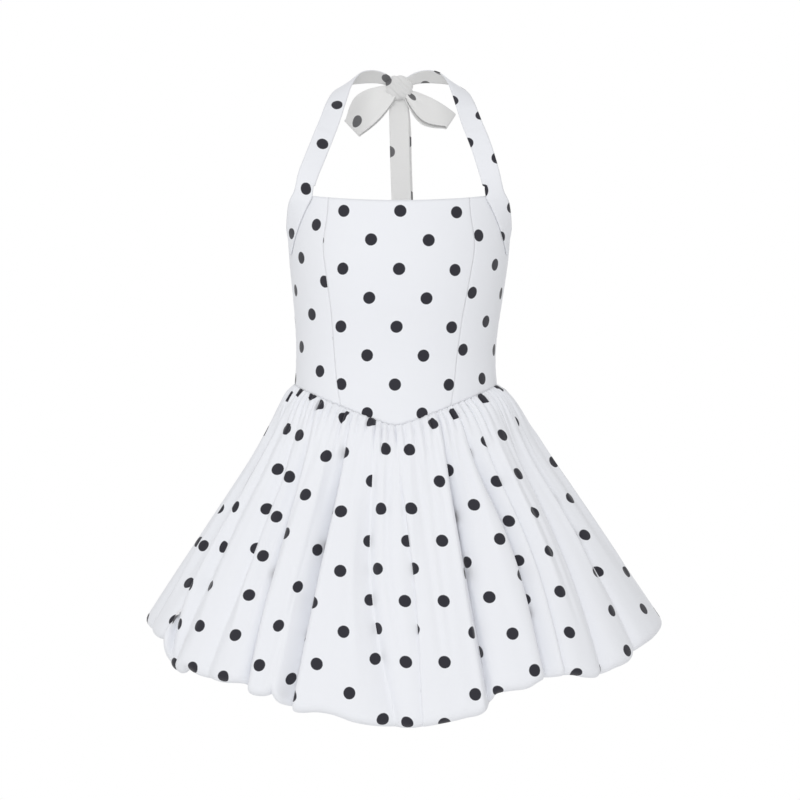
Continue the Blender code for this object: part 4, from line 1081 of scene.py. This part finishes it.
def weave_group():
    """Plain weave: a height for bump and a fine brightness change from thread to thread."""
    inputs = {"Flat cloth": "Vector", "Threads a metre": 2400.0, "Slub": 0.4}
    group, w, given, out = new_group("plain_weave", inputs, {"Height": "Float", "Tone": "Float"})
    place, count = given["Flat cloth"], given["Threads a metre"]
    threads = [
        w.math("SINE", w.math("MULTIPLY", w.math("MULTIPLY", value, count), math.pi))
        for value in w.across_and_along(place)
    ]
    drawn = [
        w.noise(w.node("ShaderNodeMapping", {"Vector": place, "Scale": scale}), 1500.0)
        for scale in ((1.0, 0.06, 1.0), (0.06, 1.0, 1.0))
    ]
    slub = w.math("MULTIPLY", w.math("SUBTRACT", w.math("ADD", *drawn), 1.0), given["Slub"])
    over = w.math("MULTIPLY", *threads)
    w.feed(out, {"Height": w.math("ADD", w.math("MULTIPLY", over, 0.5), slub), "Tone": slub})
    return group


def cloth_tone_group():
    """Slow colour changes over the cloth and soft rumples for bump."""
    inputs = {"Flat cloth": "Vector", "Rumple size": 0.03}
    group, w, given, out = new_group("cloth_tone", inputs, {"Tone": "Float", "Rumple": "Float"})
    place, scale = given["Flat cloth"], w.math("DIVIDE", 1.0, given["Rumple size"])
    w.feed(out, {"Tone": w.noise(place, 9.0), "Rumple": w.noise(place, scale, 3.0)})
    return group


def new_material(name):
    material = bpy.data.materials.new(name)
    material.use_nodes = True
    return material, Wires(material.node_tree), material.node_tree.nodes["Principled BSDF"]


def cloth_material(kind, groups):
    """Printed cotton, or plain where it has no ink."""
    material, w, shader = new_material(kind.name)
    place = w.node("ShaderNodeUVMap", uv_map="flat_cloth").outputs["UV"]
    weave = w.group(groups["weave"], {"Flat cloth": place})
    tone = w.group(groups["tone"], {"Flat cloth": place})
    ground, ink = kind.ground, kind.ink
    base = w.colour(tone["Tone"], tint(ground, 0.985), tint(ground))
    fine = w.math("MULTIPLY", weave["Tone"], 0.25, use_clamp=True)
    base = w.colour(fine, base, tint(THREAD_GREY))
    mask, smoother = tone["Tone"], PLAIN_SMOOTHER
    if ink:
        inputs = {"Flat cloth": place, "Repeat across": kind.across, "Repeat along": kind.along}
        mask, smoother = w.group(groups["dots"], inputs)["Ink"], INK_SMOOTHER
        base = w.colour(mask, base, w.colour(tone["Tone"], tint(ink), tint(ink, 1.25)))
    threads = w.math("MULTIPLY", weave["Height"], WEAVE_HEIGHT)
    rumples = w.math("MULTIPLY", tone["Rumple"], RUMPLE_HEIGHT)
    w.feed(shader, {
        "Base Color": base,
        "Roughness": w.step(mask, 0.0, 1.0, CLOTH_ROUGH, CLOTH_ROUGH - smoother),
        "Normal": w.bump(w.math("ADD", threads, rumples), CLOTH_BUMP, 1.0),
        "Sheen Weight": SHEEN, "Sheen Roughness": SHEEN_ROUGH, "Specular IOR Level": SPECULAR,
    })
    return material


def grained_material(name, dark, light, rough, rougher, grain, metallic=0.0, bump=0.3):
    """Metal, moulded teeth or twisted thread: two close colours in a fine grain."""
    material, w, shader = new_material(name)
    fine = w.noise(w.here(), grain, 3.0)
    roughness = w.step(fine, 0.0, 1.0, rough, rougher)
    colour = w.colour(fine, dark, light)
    w.feed(shader, {"Base Color": colour, "Roughness": roughness, "Metallic": metallic})
    if bump:
        w.feed(shader, {"Normal": w.bump(fine, bump, 0.0002)})
    return material


def make_materials():
    groups = {"dots": dot_print_group(), "weave": weave_group(), "tone": cloth_tone_group()}
    materials = {kind.key: cloth_material(kind, groups) for kind in CLOTHS}
    materials["metal"] = grained_material(
        "zip_metal_satin", tint((0.36, 0.36, 0.37)), tint((0.46, 0.46, 0.47)), 0.28, 0.42, 1800.0,
        metallic=0.9, bump=0.0,
    )
    for key, name, colour, rough, grain in (
        ("teeth", "zip_teeth_white", (0.80, 0.80, 0.81), 0.35, 700.0),
        ("thread", "sewing_thread_white", (0.84, 0.85, 0.87), 0.7, 2600.0),
    ):
        dark, light = tint(colour, 0.92), tint(colour)
        materials[key] = grained_material(name, dark, light, rough, rough + 0.15, grain)
    return materials


# ---- light, floor and camera ----
CAMERA_DISTANCE = 3.2  # from the body's axis
CAMERA_X, CAMERA_Z = 0.00127, -0.4055
PICTURE_WIDTH = 1.016  # of what the camera sees at the body's axis
SENSOR = 36.0
FLOOR_Z = -1.6
FLOOR_HALF = 20.0
PAPER_ENDS = (0.4, 3.2)  # distances over which the paper goes over into the backdrop
ROOM_LIGHT = 0.67
WHITE = (1.0, 1.0, 1.0, 1.0)
LAMPS_AIM = Vector((0, AXIS_Y * MM, -0.45))
LAMPS = (
    ("front_light", (-0.25, -3.4, 0.5), 2.0, 42.0),
    ("left_light", (-3.2, -1.2, 0.6), 1.6, 7.0),
    ("back_light", (0.6, 3.4, 0.6), 2.0, 30.0),
)


def white_studio(world):
    """Even light from all round, behind a plain white backdrop."""
    world.use_nodes = True
    w = Wires(world.node_tree)
    light = world.node_tree.nodes["Background"]
    w.feed(light, {"Color": WHITE, "Strength": ROOM_LIGHT})
    backdrop = w.node("ShaderNodeBackground", {"Color": WHITE, "Strength": 1.0})
    seen = w.node("ShaderNodeLightPath").outputs["Is Camera Ray"]
    either = w.node("ShaderNodeMixShader", {0: seen, 1: light, 2: backdrop})
    w.feed(world.node_tree.nodes["World Output"], {"Surface": either})


def paper_material():
    """Pale paper that goes over into the white backdrop further out, and is clear from below."""
    material, w, shader = new_material("pale_paper")
    place = w.here()
    grain = w.colour(w.noise(place, 3.0), tint((0.95,) * 3), tint((0.97,) * 3))
    w.feed(shader, {"Base Color": grain, "Roughness": 0.95})
    squares = (w.math("POWER", value, 2.0) for value in w.across_and_along(place))
    away = w.math("SQRT", w.math("ADD", *squares))
    seen = w.node("ShaderNodeLightPath").outputs["Is Camera Ray"]
    glow = w.node("ShaderNodeEmission", {"Strength": w.step(seen, 0.0, 1.0, ROOM_LIGHT, 1.0)})
    both = w.node("ShaderNodeMixShader", {0: w.step(away, *PAPER_ENDS), 1: shader, 2: glow})
    below = w.node("ShaderNodeNewGeometry").outputs["Backfacing"]
    clear = w.node("ShaderNodeBsdfTransparent")
    sided = w.node("ShaderNodeMixShader", {0: below, 1: both, 2: clear})
    w.feed(material.node_tree.nodes["Material Output"], {"Surface": sided})
    return material


def build_stage():
    scene = bpy.context.scene
    scene.view_settings.view_transform = "Standard"
    scene.world = bpy.data.worlds.new("studio")
    white_studio(scene.world)

    camera_data = bpy.data.cameras.new("camera")
    camera = new_object("camera", camera_data)
    camera.location = (CAMERA_X, AXIS_Y * MM - CAMERA_DISTANCE, CAMERA_Z)
    camera.rotation_euler = (math.radians(90), 0, 0)
    camera_data.sensor_width = SENSOR
    camera_data.lens = SENSOR * CAMERA_DISTANCE / PICTURE_WIDTH
    camera_data.clip_end = 50
    scene.camera = camera

    half = FLOOR_HALF
    square = ((-half, -half), (half, -half), (half, half), (-half, half))
    floor_mesh = bpy.data.meshes.new("floor")
    floor_mesh.from_pydata([(x, y, FLOOR_Z) for x, y in square], [], [(0, 1, 2, 3)])
    floor = new_object("floor", floor_mesh)
    floor_mesh.materials.append(paper_material())

    for name, place, size, power in LAMPS:
        lamp = bpy.data.lights.new(name, "AREA")
        lamp.size = size
        lamp.energy = power
        light = new_object(name, lamp)
        light.location = place
        light.rotation_euler = (LAMPS_AIM - Vector(place)).to_track_quat("-Z", "Y").to_euler()


# ---- putting it together ----
# What each cloth is sewn to and hangs or stands on.
SEWN_TO = {
    "skirt_front": ("bodice_front_centre", "bodice_side_front_left", "bodice_side_front_right"),
    "skirt_back_right": ("bodice_back_right",),
    "skirt_back_left": ("bodice_back_left",),
    "halter_strap_left": ("bodice_side_front_left",),
    "halter_strap_right": ("bodice_side_front_right",),
    **{row.node: ("neck_knot",) for row in LOOPS + TAILS},
    "back_zip": ("bodice_back_left", "bodice_back_right"),
}


def cloth_area(points):
    """Area of a sheet of points, in square metres."""
    a = np.cross(points[1:, :-1] - points[:-1, :-1], points[:-1, 1:] - points[:-1, :-1])
    b = np.cross(points[:-1, 1:] - points[1:, 1:], points[1:, :-1] - points[1:, 1:])
    return float((length_of(a) + length_of(b)).sum() / 2) * MM * MM


def main():
    materials = make_materials()
    build_stage()
    for build, face, wrong_side, held, slot in (
        (build_bodice, "bodice", "inside_bodice", "draped", "cotton_print"),
        (build_skirt, "skirt", "inside_skirt", "gathered", "cotton_print"),
        (build_straps, "bias", "inside_strap", "hung", "cotton_print"),
        (build_loops, "tie", "tie", "folded", "cotton_tie"),
        (build_tails, "tie", "tie", "hung", "cotton_tie"),
        (build_zip, "tape", "tape", "hung", "zip_tape"),
    ):
        for piece, node, points in build([materials[face], materials[wrong_side]]):
            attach(piece, "dress")
            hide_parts(node)
            area = cloth_area(points)
            width = length_of(np.diff(points, axis=1)).sum(1).max() * MM
            list(SEWN_TO.get(node, ()))
    knot = build_knot(materials["knot"])
    details = build_zip_details(materials["teeth"], materials["thread"])
    for piece, slot in zip(details, ("zip_tape", "cotton_print")):
        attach(piece, "dress")
    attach(knot, "dress")
    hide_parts("neck_knot")
    for node in ("zip_slider", "zip_pull"):
        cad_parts[node].material_slots[0].material = materials["metal"]


main()
